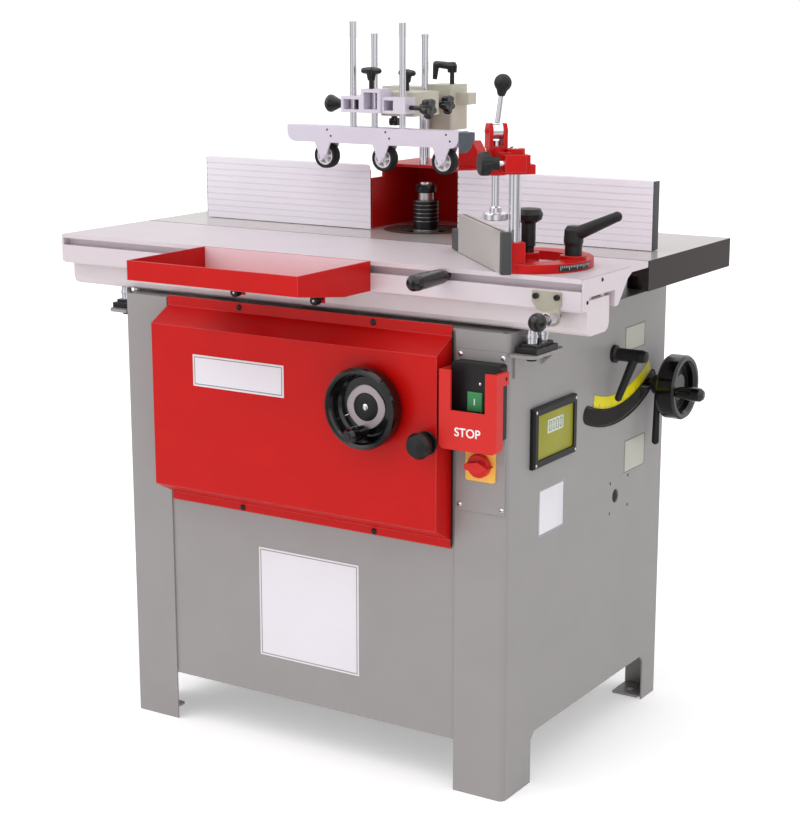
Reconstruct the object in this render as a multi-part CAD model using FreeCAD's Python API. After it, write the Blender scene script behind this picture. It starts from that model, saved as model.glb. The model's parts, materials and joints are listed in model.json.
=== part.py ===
import FreeCAD, Part
import math
import os

V = FreeCAD.Vector

# Driving sizes, in millimetres. X runs along the fence, Y to the back, Z up.
TABLE_LENGTH = 1000.0
TABLE_TOP = 850.0
IRON_DEPTH = 328.0
DECK_DEPTH = 228.0
TABLE_EDGE = 48.0
TABLE_PLATE = 12.0
CAB_GAP = 94.0
SIDE_OVERHANG = 125.0
FRONT_OVERHANG = 11.0
SHEET = 3.0
LEG_CUT = 86.0
POST_FRONT = 92.0
POST_REAR = 60.0
LEG_SIDE = 91.0
FOOT_HOLE = 7.0
COVER_DEPTH = 45.0
COVER_HEIGHT = 355.0
FENCE_HEIGHT = 111.0
FENCE_THICK = 22.0
FENCE_LENGTH = 361.0
SPINDLE_Y = 85.0
SPINDLE_INSET = 155.0
ARBOR_RADIUS = 20.0
RING_RADIUS = 22.5
INSERT_RADIUS = 74.0
INSERT_BORE = 46.0
QUILL_RADIUS = 45.0
BELT_CENTRES = 130.0
MOTOR_RADIUS = 56.0
MOTOR_LENGTH = 170.0
REAR_ROOM = 19.0
WHEEL_RADIUS = 65.0
TILT_WHEEL_RADIUS = 56.0
TILT_REACH = 290.0
TILT_SHAFT_ANGLE = 27.0
TILT_MAX = 45.0
MITRE_ANGLE = -45.0
MITRE_RADIUS = 100.0
MITRE_THICK = 14.0
PILLAR_RADIUS = 8.8
ROLLER_RADIUS = 22.0
ROLLER_END = 53.8
ROLLER_SHIFT = 20.0
TRAY_DEPTH = 195.0
DUST_X = 46.0
BRACKET_X = -20.0
BAR_LENGTH = 345.0
RUN_FIT = 0.05
SLIDE_FIT = 0.3

# Positions worked out from the driving sizes.
CAB_TOP = TABLE_TOP - CAB_GAP
HALF = TABLE_LENGTH / 2
SIDE = HALF - SIDE_OVERHANG
IRON_Y0 = SPINDLE_Y - SPINDLE_INSET
IRON_Y1 = IRON_Y0 + IRON_DEPTH
PLATE_Z = TABLE_TOP - TABLE_PLATE
DECK_Y1 = IRON_Y0 - 3
DECK_Y0 = DECK_Y1 - DECK_DEPTH
FRONT = DECK_Y0 + FRONT_OVERHANG
MOTOR_Y = SPINDLE_Y + BELT_CENTRES
BACK = MOTOR_Y + MOTOR_RADIUS + REAR_ROOM
RAIL_Y0 = DECK_Y0 + 23
RAIL_Y1 = DECK_Y0 + 97
RAIL_Z0 = CAB_TOP + 5
RAIL_Z1 = TABLE_TOP - 35
CHANNEL_Z = TABLE_TOP - 28
COVER_X0 = -(SIDE - POST_FRONT - 3)
COVER_X1 = SIDE - POST_FRONT - 7
COVER_Z1 = CAB_TOP + 4
COVER_Z0 = COVER_Z1 - COVER_HEIGHT
COVER_Y = FRONT - COVER_DEPTH
WHEEL_X = COVER_X1 - 121
WHEEL_Z = CAB_TOP - 127
LOCK_X = COVER_X1 - 17
LOCK_Z = CAB_TOP - 173
SWITCH_X = SIDE - 43
SWITCH_Z = CAB_TOP - 104
PLATE_Y = FRONT - 2
PLATE_Z0 = CAB_TOP - 284
PLATE_Z1 = CAB_TOP - 29
ISO_X = SWITCH_X - 1
ISO_Z = CAB_TOP - 207
BOX_Y = PLATE_Y - 22
FLAP_Z = SWITCH_Z + 40
FLAP_Y = PLATE_Y - 16
FENCE_Y = SPINDLE_Y - 57
FENCE_BACK = FENCE_Y + FENCE_THICK
HOOD_X0 = -95.0
HOOD_X1 = 112.0
HOOD_Y1 = SPINDLE_Y + 130
HOOD_TOP = TABLE_TOP + FENCE_HEIGHT + 1
POST_X = -12.0
POST_Y = SPINDLE_Y + 15
ARM_Z = HOOD_TOP + 88
BAR_Y = FENCE_Y - 57
BAR_Z = HOOD_TOP + 43
BAR_X = -32.0
ROLLER_PITCH = BAR_LENGTH / 2 - ROLLER_END
ROLLER_Z = BAR_Z - 23
SHAFT_ANGLE = math.radians(TILT_SHAFT_ANGLE)
TILT_Y = SPINDLE_Y + TILT_REACH * math.sin(SHAFT_ANGLE)
TILT_Z = TABLE_TOP - TILT_REACH * math.cos(SHAFT_ANGLE)
TRUNNION_HALF = min(SPINDLE_INSET - 17, IRON_DEPTH - SPINDLE_INSET - 35)
TRUNNION_RADIUS = TRUNNION_HALF - 8
TRUNNION_X = 150.0
QUILL_TOP = TABLE_TOP - 116
QUILL_LOW = TABLE_TOP - 340
FRAME_LOW = TABLE_TOP - 400
COLUMN_X = 100.0
SCREW_X = -66.0
MITRE_X = HALF - 138
MITRE_Y = DECK_Y0 + 92
FENCE_V = -55.0
PILLAR_U = 74.0
PILLAR_V = FENCE_V + 11
PRESS_U = PILLAR_U - 12
PRESS_V = PILLAR_V - 26
LEVER_U = MITRE_RADIUS - 51
LEVER_V = MITRE_RADIUS - 44
HEAD_LOW = 146.0
PIVOT_HIGH = HEAD_LOW + 62
LEVER_Y = SPINDLE_Y - 10
LEVER_Z = TABLE_TOP - 183
HANDLE_X = HALF - 233
LATCH_X = HALF - 46
LATCH_Z = TABLE_TOP - 60
ROD_RADIUS = 5.5
ROD_HEIGHT = 204.0
GRIP_OUT = WHEEL_RADIUS - 28


def box(x0, x1, y0, y1, z0, z1):
    """Block between two corners."""
    return Part.makeBox(x1 - x0, y1 - y0, z1 - z0, V(x0, y0, z0))


def rod(r, p, d, h):
    """Round bar of radius r from p along d."""
    return Part.makeCylinder(r, h, V(*p), V(*d))


def tube(ro, ri, p, d, h):
    """Round tube from p along d."""
    return rod(ro, p, d, h).cut(rod(ri, p, d, h))


def prism(points, step):
    """Polygon swept along a vector."""
    wire = Part.makePolygon([V(*p) for p in points] + [V(*points[0])])
    return Part.Face(wire).extrude(V(*step))


def prism_x(pts, x0, x1):
    """Y-Z outline swept along X."""
    return prism([(x0, y, z) for y, z in pts], (x1 - x0, 0, 0))


def prism_y(pts, y0, y1):
    """X-Z outline swept along Y."""
    return prism([(x, y0, z) for x, z in pts], (0, y1 - y0, 0))


def prism_z(pts, z0, z1):
    """X-Y outline swept along Z."""
    return prism([(x, y, z0) for x, y in pts], (0, 0, z1 - z0))


def lathe(profile, p, d):
    """Turned part: radius and height pairs spun about the axis d through p."""
    pts = [V(r, 0, h) for r, h in profile]
    face = Part.Face(Part.makePolygon(pts + [pts[0]]))
    solid = face.revolve(V(0, 0, 0), V(0, 0, 1), 360)
    turn = FreeCAD.Rotation(V(0, 0, 1), V(*d))
    solid.Placement = FreeCAD.Placement(V(*p), turn)
    return solid


def fuse(*shapes):
    """Join shapes into one clean solid."""
    whole = shapes[0]
    for one in shapes[1:]:
        whole = whole.fuse(one)
    return whole.removeSplitter()


def swing(r, deg, x):
    """Point on a circle about the tilt axis, deg from straight down to the back."""
    a = math.radians(deg)
    return V(x, SPINDLE_Y + r * math.sin(a), TABLE_TOP - r * math.cos(a))


def arc_slot(r, w, a0, a1, x0, x1):
    """Round-ended slot cutter that follows a circle about the tilt axis."""
    mid = (a0 + a1) / 2
    outer = Part.Arc(swing(r + w, a0, x0), swing(r + w, mid, x0), swing(r + w, a1, x0))
    inner = Part.Arc(swing(r - w, a1, x0), swing(r - w, mid, x0), swing(r - w, a0, x0))
    end1 = Part.LineSegment(swing(r + w, a1, x0), swing(r - w, a1, x0))
    end0 = Part.LineSegment(swing(r - w, a0, x0), swing(r + w, a0, x0))
    wire = Part.Wire([e.toShape() for e in (outer, end1, inner, end0)])
    band = Part.Face(wire).extrude(V(x1 - x0, 0, 0))
    caps = [Part.makeCylinder(w, x1 - x0, swing(r, a, x0), V(1, 0, 0)) for a in (a0, a1)]
    return fuse(band, *caps)


def save(name, *solids):
    """Write one node; a node of several like pieces is kept as separate solids."""
    shape = solids[0] if len(solids) == 1 else Part.makeCompound(list(solids))
    shape.exportStep(os.path.join("parts", name + ".step"))


def mirror_x(shape):
    """Left-hand copy of a right-hand piece."""
    return shape.mirror(V(0, 0, 0), V(1, 0, 0))


def side_wall():
    """Right-hand bent side sheet with its two legs and foot flanges."""
    corner = 10.0
    outer = box(-SIDE, SIDE, FRONT, BACK, 0, CAB_TOP)
    outer = outer.makeFillet(corner, [e for e in outer.Edges if e.BoundBox.ZLength > 1])
    inner = box(-SIDE + SHEET, SIDE - SHEET, FRONT + SHEET, BACK - SHEET, -1, CAB_TOP + 1)
    upright = [e for e in inner.Edges if e.BoundBox.ZLength > 1]
    inner = inner.makeFillet(corner - SHEET, upright)
    wall = outer.cut(inner)
    wall = wall.cut(box(-SIDE - 1, SIDE - POST_FRONT, FRONT - 1, 0, -1, CAB_TOP + 1))
    wall = wall.cut(box(-SIDE - 1, SIDE - POST_REAR, -1, BACK + 1, -1, CAB_TOP + 1))
    y0 = FRONT + LEG_SIDE
    y1 = BACK - POST_REAR
    gap = [(y0, -1), (y0, LEG_CUT - 12), (y0 + 12, LEG_CUT), (y1 - 12, LEG_CUT)]
    gap += [(y1, LEG_CUT - 12), (y1, -1)]
    wall = wall.cut(prism_x(gap, SIDE - 10, SIDE + 1))
    xin = SIDE - SHEET
    feet = []
    for y in (FRONT + SHEET + 28, BACK - SHEET - 28):
        plate = box(xin - 56, xin - corner + SHEET, y - 28, y + 28, 0, 5)
        plate = plate.fuse(box(xin - 56, xin, y - 20, y + 20, 0, 5))
        feet.append(plate)
    wall = fuse(wall, *feet)
    for y in (FRONT + 35, BACK - 35):
        wall = wall.cut(rod(FOOT_HOLE, (SIDE - 35, y, -1), (0, 0, 1), 7))
    return wall


def right_wall():
    """Side sheet with the tilt slot, lock stud hole and cable opening."""
    wall = side_wall()
    low = TILT_SHAFT_ANGLE - TILT_MAX - 3
    wall = wall.cut(arc_slot(TILT_REACH, 13, low, TILT_SHAFT_ANGLE + 3, SIDE - 10, SIDE + 1))
    wall = wall.cut(rod(6 + RUN_FIT, (SIDE - 10, LEVER_Y, LEVER_Z), (1, 0, 0), 12))
    hole_y = SPINDLE_Y + 11
    hole_z = CAB_TOP - 340
    wall = wall.cut(rod(12, (SIDE - 10, hole_y, hole_z), (1, 0, 0), 12))
    for y in (hole_y - 21, hole_y + 49):
        for z in (hole_z - 27, hole_z + 26):
            wall = wall.cut(rod(3, (SIDE - 10, y, z), (1, 0, 0), 12))
    return wall


def front_panel():
    """Lower front sheet, open behind the red cover."""
    x = SIDE - POST_FRONT + 15
    sheet = box(-x, x, FRONT + SHEET, FRONT + 2 * SHEET, LEG_CUT, CAB_TOP)
    window = box(COVER_X0 + 20, COVER_X1 - 20, FRONT, FRONT + 9, COVER_Z0 + 24, COVER_Z1 - 26)
    lip = box(-x, x, FRONT + 2 * SHEET, FRONT + 2 * SHEET + 20, LEG_CUT, LEG_CUT + SHEET)
    return fuse(sheet.cut(window), lip)


def rear_panel():
    """Back sheet with two columns of air slots."""
    x = SIDE - POST_REAR + 15
    sheet = box(-x, x, BACK - 2 * SHEET, BACK - SHEET, LEG_CUT, CAB_TOP)
    for col in (-1, 1):
        for row in range(8):
            z = LEG_CUT + 130 + 26 * row
            sheet = sheet.cut(box(col * 130 - 70, col * 130 + 70, BACK - 20, BACK, z, z + 8))
    return sheet


def top_frame():
    """Flat frame under the tables, inside the cabinet sheets."""
    y0 = FRONT + 2 * SHEET
    y1 = BACK - 2 * SHEET
    x = SIDE - SHEET
    ring = box(-x, x, y0, y1, CAB_TOP - 12, CAB_TOP)
    ring = ring.cut(box(-x + 52, x - 52, y0 + 48, y1 - 48, CAB_TOP - 13, CAB_TOP + 1))
    for xc in (-x + 4.5, x - 4.5):
        for yc in (y0 + 4.5, y1 - 4.5):
            ring = ring.cut(box(xc - 4.6, xc + 4.6, yc - 4.6, yc + 4.6, CAB_TOP - 13, CAB_TOP + 1))
    return ring


def front_cover():
    """Proud sheet cover with sloped top and bottom and closed ends."""
    z0 = COVER_Z0
    z1 = COVER_Z1
    flange = box(COVER_X0, COVER_X1, FRONT, FRONT + SHEET, z0, z1)
    outer = [(FRONT + 1, z0 + 13), (COVER_Y, z0 + 38), (COVER_Y, z1 - 41), (FRONT + 1, z1 - 16)]
    inner = [(FRONT + 9, z0 + 16), (FRONT, z0 + 16), (COVER_Y + 2, z0 + 40)]
    inner += [(COVER_Y + 2, z1 - 43), (FRONT, z1 - 19), (FRONT + 9, z1 - 19)]
    shell = fuse(flange, prism_x(outer, COVER_X0, COVER_X1))
    shell = shell.cut(prism_x(inner, COVER_X0 + 2, COVER_X1 - 2))
    shell = shell.cut(rod(16 + SLIDE_FIT, (WHEEL_X, COVER_Y - 1, WHEEL_Z), (0, 1, 0), 5))
    return shell.cut(rod(10 + SLIDE_FIT, (LOCK_X, COVER_Y - 1, LOCK_Z), (0, 1, 0), 5))


def bush(x, z, r, bore):
    """Flanged shaft bush held in the front cover."""
    shape = [(bore, -20), (r, -20), (r, 0), (r + 9, 0), (r + 9, 3), (bore, 3)]
    return lathe(shape, (x, COVER_Y, z), (0, -1, 0))


def screw(r, p, d):
    """Dome-headed screw: the head on the sheet and a short shank."""
    return lathe([(0, 0), (r, 0), (r, 1.2), (r * 0.6, 2.6), (0, 3)], p, d)


def rail_foot(s):
    """Block and studs that carry the guide rail on its bracket."""
    x = s * (SIDE + 22)
    y = (RAIL_Y0 + RAIL_Y1) / 2
    z = CAB_TOP - 31
    block = box(x - 18, x + 18, y - 34, y + 34, z, z + 9)
    block = block.fuse(box(x - 13, x + 13, y - 28, y + 28, z + 8, z + 14))
    heads = []
    for k in (-1, 1):
        spot = (x, y + 17 * k, z + 13)
        block = block.fuse(rod(8, spot, (0, 0, 1), RAIL_Z0 - z - 13))
        heads.append(rod(8, (x, y + 17 * k, z - 12), (0, 0, 1), 7))
    return [block.removeSplitter()] + heads


def fasteners():
    """Cover, switch plate and display screws, shaft bushes and rail feet."""
    out = [bush(WHEEL_X, WHEEL_Z, 16, 10 + RUN_FIT), bush(LOCK_X, LOCK_Z, 10, 6 + RUN_FIT)]
    for x in (-WHEEL_X + 25, WHEEL_X - 22):
        for z in (COVER_Z0 + 6, COVER_Z1 - 8):
            out.append(screw(5, (x, FRONT, z), (0, -1, 0)))
    for x in (SWITCH_X - 39, SWITCH_X + 35):
        for z in (PLATE_Z0 + 9, PLATE_Z1 - 8):
            out.append(screw(3.5, (x, PLATE_Y, z), (0, -1, 0)))
    for s in (-1, 1):
        out.extend(rail_foot(s))
    return out


def switch_plate():
    """Grey mounting plate on the right front post."""
    return box(SWITCH_X - 46, SWITCH_X + 40, PLATE_Y, FRONT, PLATE_Z0, PLATE_Z1)


def switch_box():
    """Switch body with its button well and the flap's two pivot pins."""
    body = box(SWITCH_X - 42, SWITCH_X + 42, BOX_Y, PLATE_Y, SWITCH_Z - 59, SWITCH_Z + 59)
    edges = [e for e in body.Edges if e.BoundBox.YLength > 1]
    body = body.makeFillet(5, edges)
    well = box(SWITCH_X - 13.5, SWITCH_X + 13.5, BOX_Y - 1, BOX_Y + 16, SWITCH_Z - 15.5, SWITCH_Z + 15.5)
    body = body.cut(well)
    pins = [rod(3, (SWITCH_X + 41 * s, FLAP_Y, FLAP_Z), (s, 0, 0), 7.5) for s in (-1, 1)]
    return fuse(body, *pins)


def start_button():
    """Push button that runs in the switch body's well."""
    body = box(SWITCH_X - 13, SWITCH_X + 13, BOX_Y - 3, BOX_Y + 12, SWITCH_Z - 15, SWITCH_Z + 15)
    return body.makeFillet(1.5, [e for e in body.Edges if e.BoundBox.YMax < BOX_Y])


def stop_flap():
    """Hinged stop flap: two horns beside the button and a deep lower tray."""
    x0 = SWITCH_X - 50
    x1 = SWITCH_X + 50
    z0 = SWITCH_Z - 73
    z1 = FLAP_Z + 10
    y0 = BOX_Y - 24
    shape = [(x0, z0), (x1, z0), (x1, z1), (x1 - 20, z1), (x1 - 20, SWITCH_Z - 12)]
    shape += [(x0 + 20, SWITCH_Z - 12), (x0 + 20, z1), (x0, z1)]
    plate = prism_y(shape, y0, y0 + 4)
    parts = [plate, box(x0, x1, y0, BOX_Y - 4, z0, z0 + 10)]
    for a in (x0, x1 - 6):
        parts.append(box(a, a + 6, y0, BOX_Y - 4, z0, z1))
        parts.append(box(a, a + 6, y0, FLAP_Y + 7, FLAP_Z - 10, z1))
    flap = fuse(*parts)
    low = [e for e in flap.Edges if e.BoundBox.YLength > 15 and e.BoundBox.ZMax < z0 + 0.1]
    flap = flap.makeFillet(9, low)
    return flap.cut(rod(3 + RUN_FIT, (x0 - 1, FLAP_Y, FLAP_Z), (1, 0, 0), x1 - x0 + 2))


def isolator_plate():
    """Square plate under the main switch knob."""
    plate = box(ISO_X - 26, ISO_X + 26, PLATE_Y - 4, PLATE_Y, ISO_Z - 26, ISO_Z + 26)
    return plate.makeFillet(4, [e for e in plate.Edges if e.BoundBox.YLength > 1])


def isolator_knob():
    """Round main switch knob with a raised grip bar."""
    y = PLATE_Y - 4
    disc = lathe([(0, 0), (19, 0), (19, 7), (17, 9), (0, 9)], (ISO_X, y, ISO_Z), (0, -1, 0))
    tail = [(ISO_X - 17, ISO_Z - 4), (ISO_X + 6, ISO_Z - 9), (ISO_X + 24, ISO_Z), (ISO_X + 6, ISO_Z + 9)]
    return fuse(disc, prism_y(tail + [(ISO_X - 17, ISO_Z + 4)], y - 20, y - 1))


def display_unit():
    """Height read-out: bezel with a recessed window on the right side."""
    y0 = SPINDLE_Y - 303
    z0 = CAB_TOP - 226
    body = box(SIDE, SIDE + 9, y0, y0 + 146, z0, z0 + 97)
    body = body.makeChamfer(3, [e for e in body.Edges if e.BoundBox.XMin > SIDE + 8])
    return body.cut(box(SIDE + 6, SIDE + 10, y0 + 12, y0 + 134, z0 + 12, z0 + 85))


def main_table():
    """Ribbed cast table with the spindle opening and four seats."""
    z0 = TABLE_TOP - TABLE_EDGE
    y0 = IRON_Y0
    y1 = IRON_Y1
    body = box(-HALF, HALF, y0, y1, PLATE_Z, TABLE_TOP)
    rim = box(-HALF, HALF, y0, y1, z0, PLATE_Z)
    rim = rim.cut(box(-HALF + 11, HALF - 11, y0 - 1, y1 - 11, z0 - 1, PLATE_Z))
    lip = box(-HALF, HALF, y0, y0 + 8, PLATE_Z - 14, PLATE_Z)
    parts = [body, rim, lip]
    for x in (-250, 250):
        parts.append(box(x - 6, x + 6, y0 + 4, y1 - 4, PLATE_Z - 22, PLATE_Z))
    for x in (-SIDE + 29, SIDE - 29):
        for y in (y0 + 26, y1 - 26):
            parts.append(rod(22, (x, y, CAB_TOP), (0, 0, 1), PLATE_Z - CAB_TOP + 1))
    table = fuse(*parts)
    table = table.cut(rod(INSERT_RADIUS - 10, (0, SPINDLE_Y, 0), (0, 0, 1), TABLE_TOP + 1))
    seat = rod(INSERT_RADIUS, (0, SPINDLE_Y, TABLE_TOP - 8), (0, 0, 1), 9)
    return table.cut(seat)


def insert_ring():
    """Loose ring that closes the table opening round the spindle."""
    r = INSERT_RADIUS - SLIDE_FIT
    shape = [(INSERT_BORE, 0), (r, 0), (r, 7), (r - 1, 8), (INSERT_BORE + 2, 8), (INSERT_BORE, 6)]
    return lathe(shape, (0, SPINDLE_Y, TABLE_TOP - 8), (0, 0, 1))


def rail_bracket():
    """Right-hand shelf bracket on the cabinet side."""
    y0 = RAIL_Y0 - 10
    y1 = RAIL_Y1 + 20
    z = CAB_TOP - 36
    shelf = box(SIDE, SIDE + 42, y0, y1, z, z + 5)
    shelf = shelf.makeFillet(14, [e for e in shelf.Edges if e.BoundBox.ZLength > 1
                                  and e.BoundBox.XMin > SIDE + 1])
    wall = box(SIDE, SIDE + 4, y0 + 12, y1, z - 34, z + 2)
    rib = prism_y([(SIDE, z - 30), (SIDE + 34, z + 1), (SIDE, z + 1)], y1 - 8, y1 - 3)
    return fuse(shelf, wall, rib)


def rail_section(grow):
    """Outline of the guide rail, grown outwards by a distance."""
    y0 = RAIL_Y0 - grow
    y1 = RAIL_Y1 + grow
    z0 = RAIL_Z0 - grow
    z1 = RAIL_Z1 + grow
    c = 12
    return [(y0, z1), (y0, z0 + c), (y0 + 4, z0 + 4), (y0 + c, z0), (y1 - c, z0),
            (y1 - 4, z0 + 4), (y1, z0 + c), (y1, z1)]


def guide_rail():
    """Hollow rail, two end caps and two bearing strips."""
    x = HALF - 6
    beam = prism_x(rail_section(0), -x, x).cut(prism_x(rail_section(-5), -x - 1, x + 1))
    caps = [prism_x(rail_section(0), s * x, s * (x + 4)) for s in (-1, 1)]
    strips = []
    for y in (RAIL_Y0 + 10, RAIL_Y1 - 22):
        strips.append(box(-x, x, y, y + 12, RAIL_Z1, CHANNEL_Z))
    return [beam] + caps + strips


def trunnion_bracket(s):
    """Fixed curved-slot plate under the table that carries the tilting unit."""
    x0 = TRUNNION_X if s > 0 else -TRUNNION_X - 14
    y = SPINDLE_Y
    z = TABLE_TOP
    half = TRUNNION_HALF
    r = TRUNNION_RADIUS
    shape = [(y - half, PLATE_Z), (y - half, z - 40), (y - r + 34, z - r - 4), (y - 40, z - r - 26)]
    shape += [(y + 40, z - r - 26), (y + r - 34, z - r - 4), (y + half, z - 40), (y + half, PLATE_Z)]
    plate = prism_x(shape, x0, x0 + 14)
    plate = plate.cut(rod(r - 34, (x0 - 1, y, z), (1, 0, 0), 16))
    foot0 = x0 - 10 if s < 0 else x0
    for k in (-1, 1):
        y0 = y + (half - 21) * k
        plate = plate.fuse(box(foot0, foot0 + 24, y0 - 21, y0 + 21, PLATE_Z - 10, PLATE_Z))
    return plate.cut(arc_slot(r, 8, -TILT_MAX - 16, 16, x0 - 1, x0 + 15))


def tilt_frame():
    """Swinging frame: cheeks with slot pins, cross plates, columns, shaft arm."""
    x1 = TRUNNION_X - SLIDE_FIT
    x0 = x1 - 13
    y = SPINDLE_Y
    top = TABLE_TOP - TRUNNION_RADIUS + 13
    parts = []
    for s in (-1, 1):
        a = min(s * x0, s * x1)
        shape = [(y - 44, FRAME_LOW), (y + 44, FRAME_LOW), (y + 48, top - 30), (y + 30, top)]
        shape += [(y - 30, top), (y - 48, top - 30)]
        parts.append(prism_x(shape, a, a + 13))
        for deg in (-12, 12):
            p = swing(TRUNNION_RADIUS, deg, s * (x1 - 1))
            parts.append(Part.makeCylinder(7.7, 14, p, V(s, 0, 0)))
        parts.append(rod(12, (s * COLUMN_X, y, FRAME_LOW + 6), (0, 0, 1), top - FRAME_LOW - 10))
    bridge = box(-x1 + 1, x1 - 1, y - 29, y + 29, top - 8, top)
    parts.append(bridge.cut(rod(QUILL_RADIUS + 5, (0, y, top - 9), (0, 0, 1), 10)))
    low = box(-x1 + 1, x1 - 1, y - 43, y + 43, FRAME_LOW, FRAME_LOW + 12)
    parts.append(low.cut(box(-60, 60, y - 34, y + 44, FRAME_LOW - 1, FRAME_LOW + 13)))
    arm = [(y + 20, TILT_Z + 110), (TILT_Y + 18, TILT_Z + 6), (TILT_Y + 12, TILT_Z - 16)]
    arm += [(y + 20, TILT_Z - 60)]
    parts.append(prism_x(arm, x0, x1))
    parts.append(rod(22, (x0 - 12, TILT_Y, TILT_Z), (1, 0, 0), 37))
    frame = fuse(*parts)
    frame = frame.cut(rod(10 + RUN_FIT, (x0 - 13, TILT_Y, TILT_Z), (1, 0, 0), 40))
    return frame.cut(rod(7 + RUN_FIT, (SCREW_X, y, FRAME_LOW - 1), (0, 0, 1), 420))


def lift_screw():
    """Screw that raises the spindle carriage."""
    z0 = FRAME_LOW - 6
    shape = [(0, 0), (11, 0), (11, 5.5), (7, 5.5), (7, 283), (0, 283)]
    return lathe(shape, (SCREW_X, SPINDLE_Y, z0), (0, 0, 1))


def quill_housing():
    """Spindle carriage: quill barrel, column sleeves, nut web and motor plate."""
    y = SPINDLE_Y
    z1 = QUILL_TOP
    z0 = QUILL_LOW
    parts = [rod(QUILL_RADIUS, (0, y, z0), (0, 0, 1), z1 - z0)]
    parts.append(box(-COLUMN_X, COLUMN_X, y - 13, y + 13, z0 + 50, z1 - 56))
    for s in (-1, 1):
        parts.append(rod(21, (s * COLUMN_X, y, z0 + 30), (0, 0, 1), z1 - z0 - 76))
    parts.append(box(-58, 58, y + 30, MOTOR_Y + MOTOR_RADIUS + 2, z1 - 56, z1 - 46))
    body = fuse(*parts)
    body = body.cut(rod(32, (0, y, z0 - 1), (0, 0, 1), z1 - z0 + 2))
    for s in (-1, 1):
        body = body.cut(rod(12 + RUN_FIT, (s * COLUMN_X, y, z0), (0, 0, 1), 300))
    return body.cut(rod(7 + RUN_FIT, (SCREW_X, y, z0), (0, 0, 1), 300))


def bearing(z):
    """One spindle bearing ring."""
    return tube(32, ARBOR_RADIUS, (0, SPINDLE_Y, z), (0, 0, 1), 18)


def motor():
    """Drive motor hung under the carriage plate, with ribs and terminal box."""
    z1 = QUILL_TOP - 56
    z0 = z1 - MOTOR_LENGTH
    r = MOTOR_RADIUS
    parts = [rod(r - 4, (0, MOTOR_Y, z0), (0, 0, 1), z1 - z0)]
    for z in (z0, z1 - 14):
        parts.append(rod(r, (0, MOTOR_Y, z), (0, 0, 1), 14))
    for k in range(12):
        rib = box(r - 6, r, MOTOR_Y - 1.5, MOTOR_Y + 1.5, z0 + 14, z1 - 14)
        rib.rotate(V(0, MOTOR_Y, 0), V(0, 0, 1), 30 * k + 15)
        parts.append(rib)
    parts.append(box(r - 8, r + 28, MOTOR_Y - 28, MOTOR_Y + 28, z0 + 60, z0 + 130))
    body = fuse(*parts)
    return body.cut(rod(9 + RUN_FIT, (0, MOTOR_Y, z0 - 1), (0, 0, 1), 72))


def drive_belt():
    """Flat ribbed belt round the two pulleys."""
    z = QUILL_LOW - 34
    loops = []
    for grow in (4, 0):
        a = rod(26 + grow, (0, SPINDLE_Y, z), (0, 0, 1), 18)
        b = rod(34 + grow, (0, MOTOR_Y, z), (0, 0, 1), 18)
        gap = MOTOR_Y - SPINDLE_Y
        lean = math.asin(8.0 / gap)
        cx = math.cos(lean)
        sy = math.sin(lean)
        ra = 26 + grow
        rb = 34 + grow
        pts = [(-ra * cx, SPINDLE_Y - ra * sy), (ra * cx, SPINDLE_Y - ra * sy)]
        pts += [(rb * cx, MOTOR_Y - rb * sy), (-rb * cx, MOTOR_Y - rb * sy)]
        loops.append(fuse(a, b, prism_z(pts, z, z + 18)))
    return loops[0].cut(loops[1])


def pulley(r, y, z):
    """Flanged belt pulley."""
    shape = [(0, -3), (r + 3, -3), (r + 3, -1), (r, -1), (r, 19), (r + 3, 19), (r + 3, 21), (0, 21)]
    return lathe(shape, (0, y, z), (0, 0, 1))


def spindle_arbor():
    """Spindle shaft with shoulder, tool seat, threaded end and belt pulley."""
    r = ARBOR_RADIUS - RUN_FIT
    z = QUILL_LOW - 40
    top = TABLE_TOP - z
    shape = [(0, 0), (r, 0), (r, top - 8), (RING_RADIUS, top - 8), (RING_RADIUS, top + 1)]
    shape += [(15, top + 1), (15, top + 52), (10.5, top + 52), (10.5, top + 81)]
    shape += [(9, top + 83), (0, top + 83)]
    shaft = lathe(shape, (0, SPINDLE_Y, z), (0, 0, 1))
    return fuse(shaft, pulley(25.7, SPINDLE_Y, QUILL_LOW - 34))


def ring_stack():
    """Spacer rings on the arbor and the clamping nut above them."""
    out = []
    z = TABLE_TOP + 1
    b = 15 + RUN_FIT
    r = RING_RADIUS
    for h in (16, 7, 7, 7, 7, 7):
        shape = [(b, 0), (r - 0.8, 0), (r, 0.8), (r, h - 0.8), (r - 0.8, h), (b, h)]
        out.append(lathe(shape, (0, SPINDLE_Y, z), (0, 0, 1)))
        z += h
    b = 10.5 + RUN_FIT
    shape = [(b, 0), (16, 0), (18, 2), (18, 13), (16, 14), (b, 14)]
    nut = lathe(shape, (0, SPINDLE_Y, z + 13), (0, 0, 1))
    for k in range(3):
        slit = box(-20, 20, SPINDLE_Y - 2.5, SPINDLE_Y + 2.5, z + 21, z + 28)
        slit.rotate(V(0, SPINDLE_Y, 0), V(0, 0, 1), 60 * k + 20)
        nut = nut.cut(slit)
    collar = tube(13, b, (0, SPINDLE_Y, z), (0, 0, 1), 13)
    return out + [collar, nut]


def motor_pulley():
    """Pulley with the motor shaft."""
    shaft = rod(9, (0, MOTOR_Y, QUILL_LOW - 34), (0, 0, 1), 92)
    return fuse(pulley(33.7, MOTOR_Y, QUILL_LOW - 34), shaft)


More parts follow.
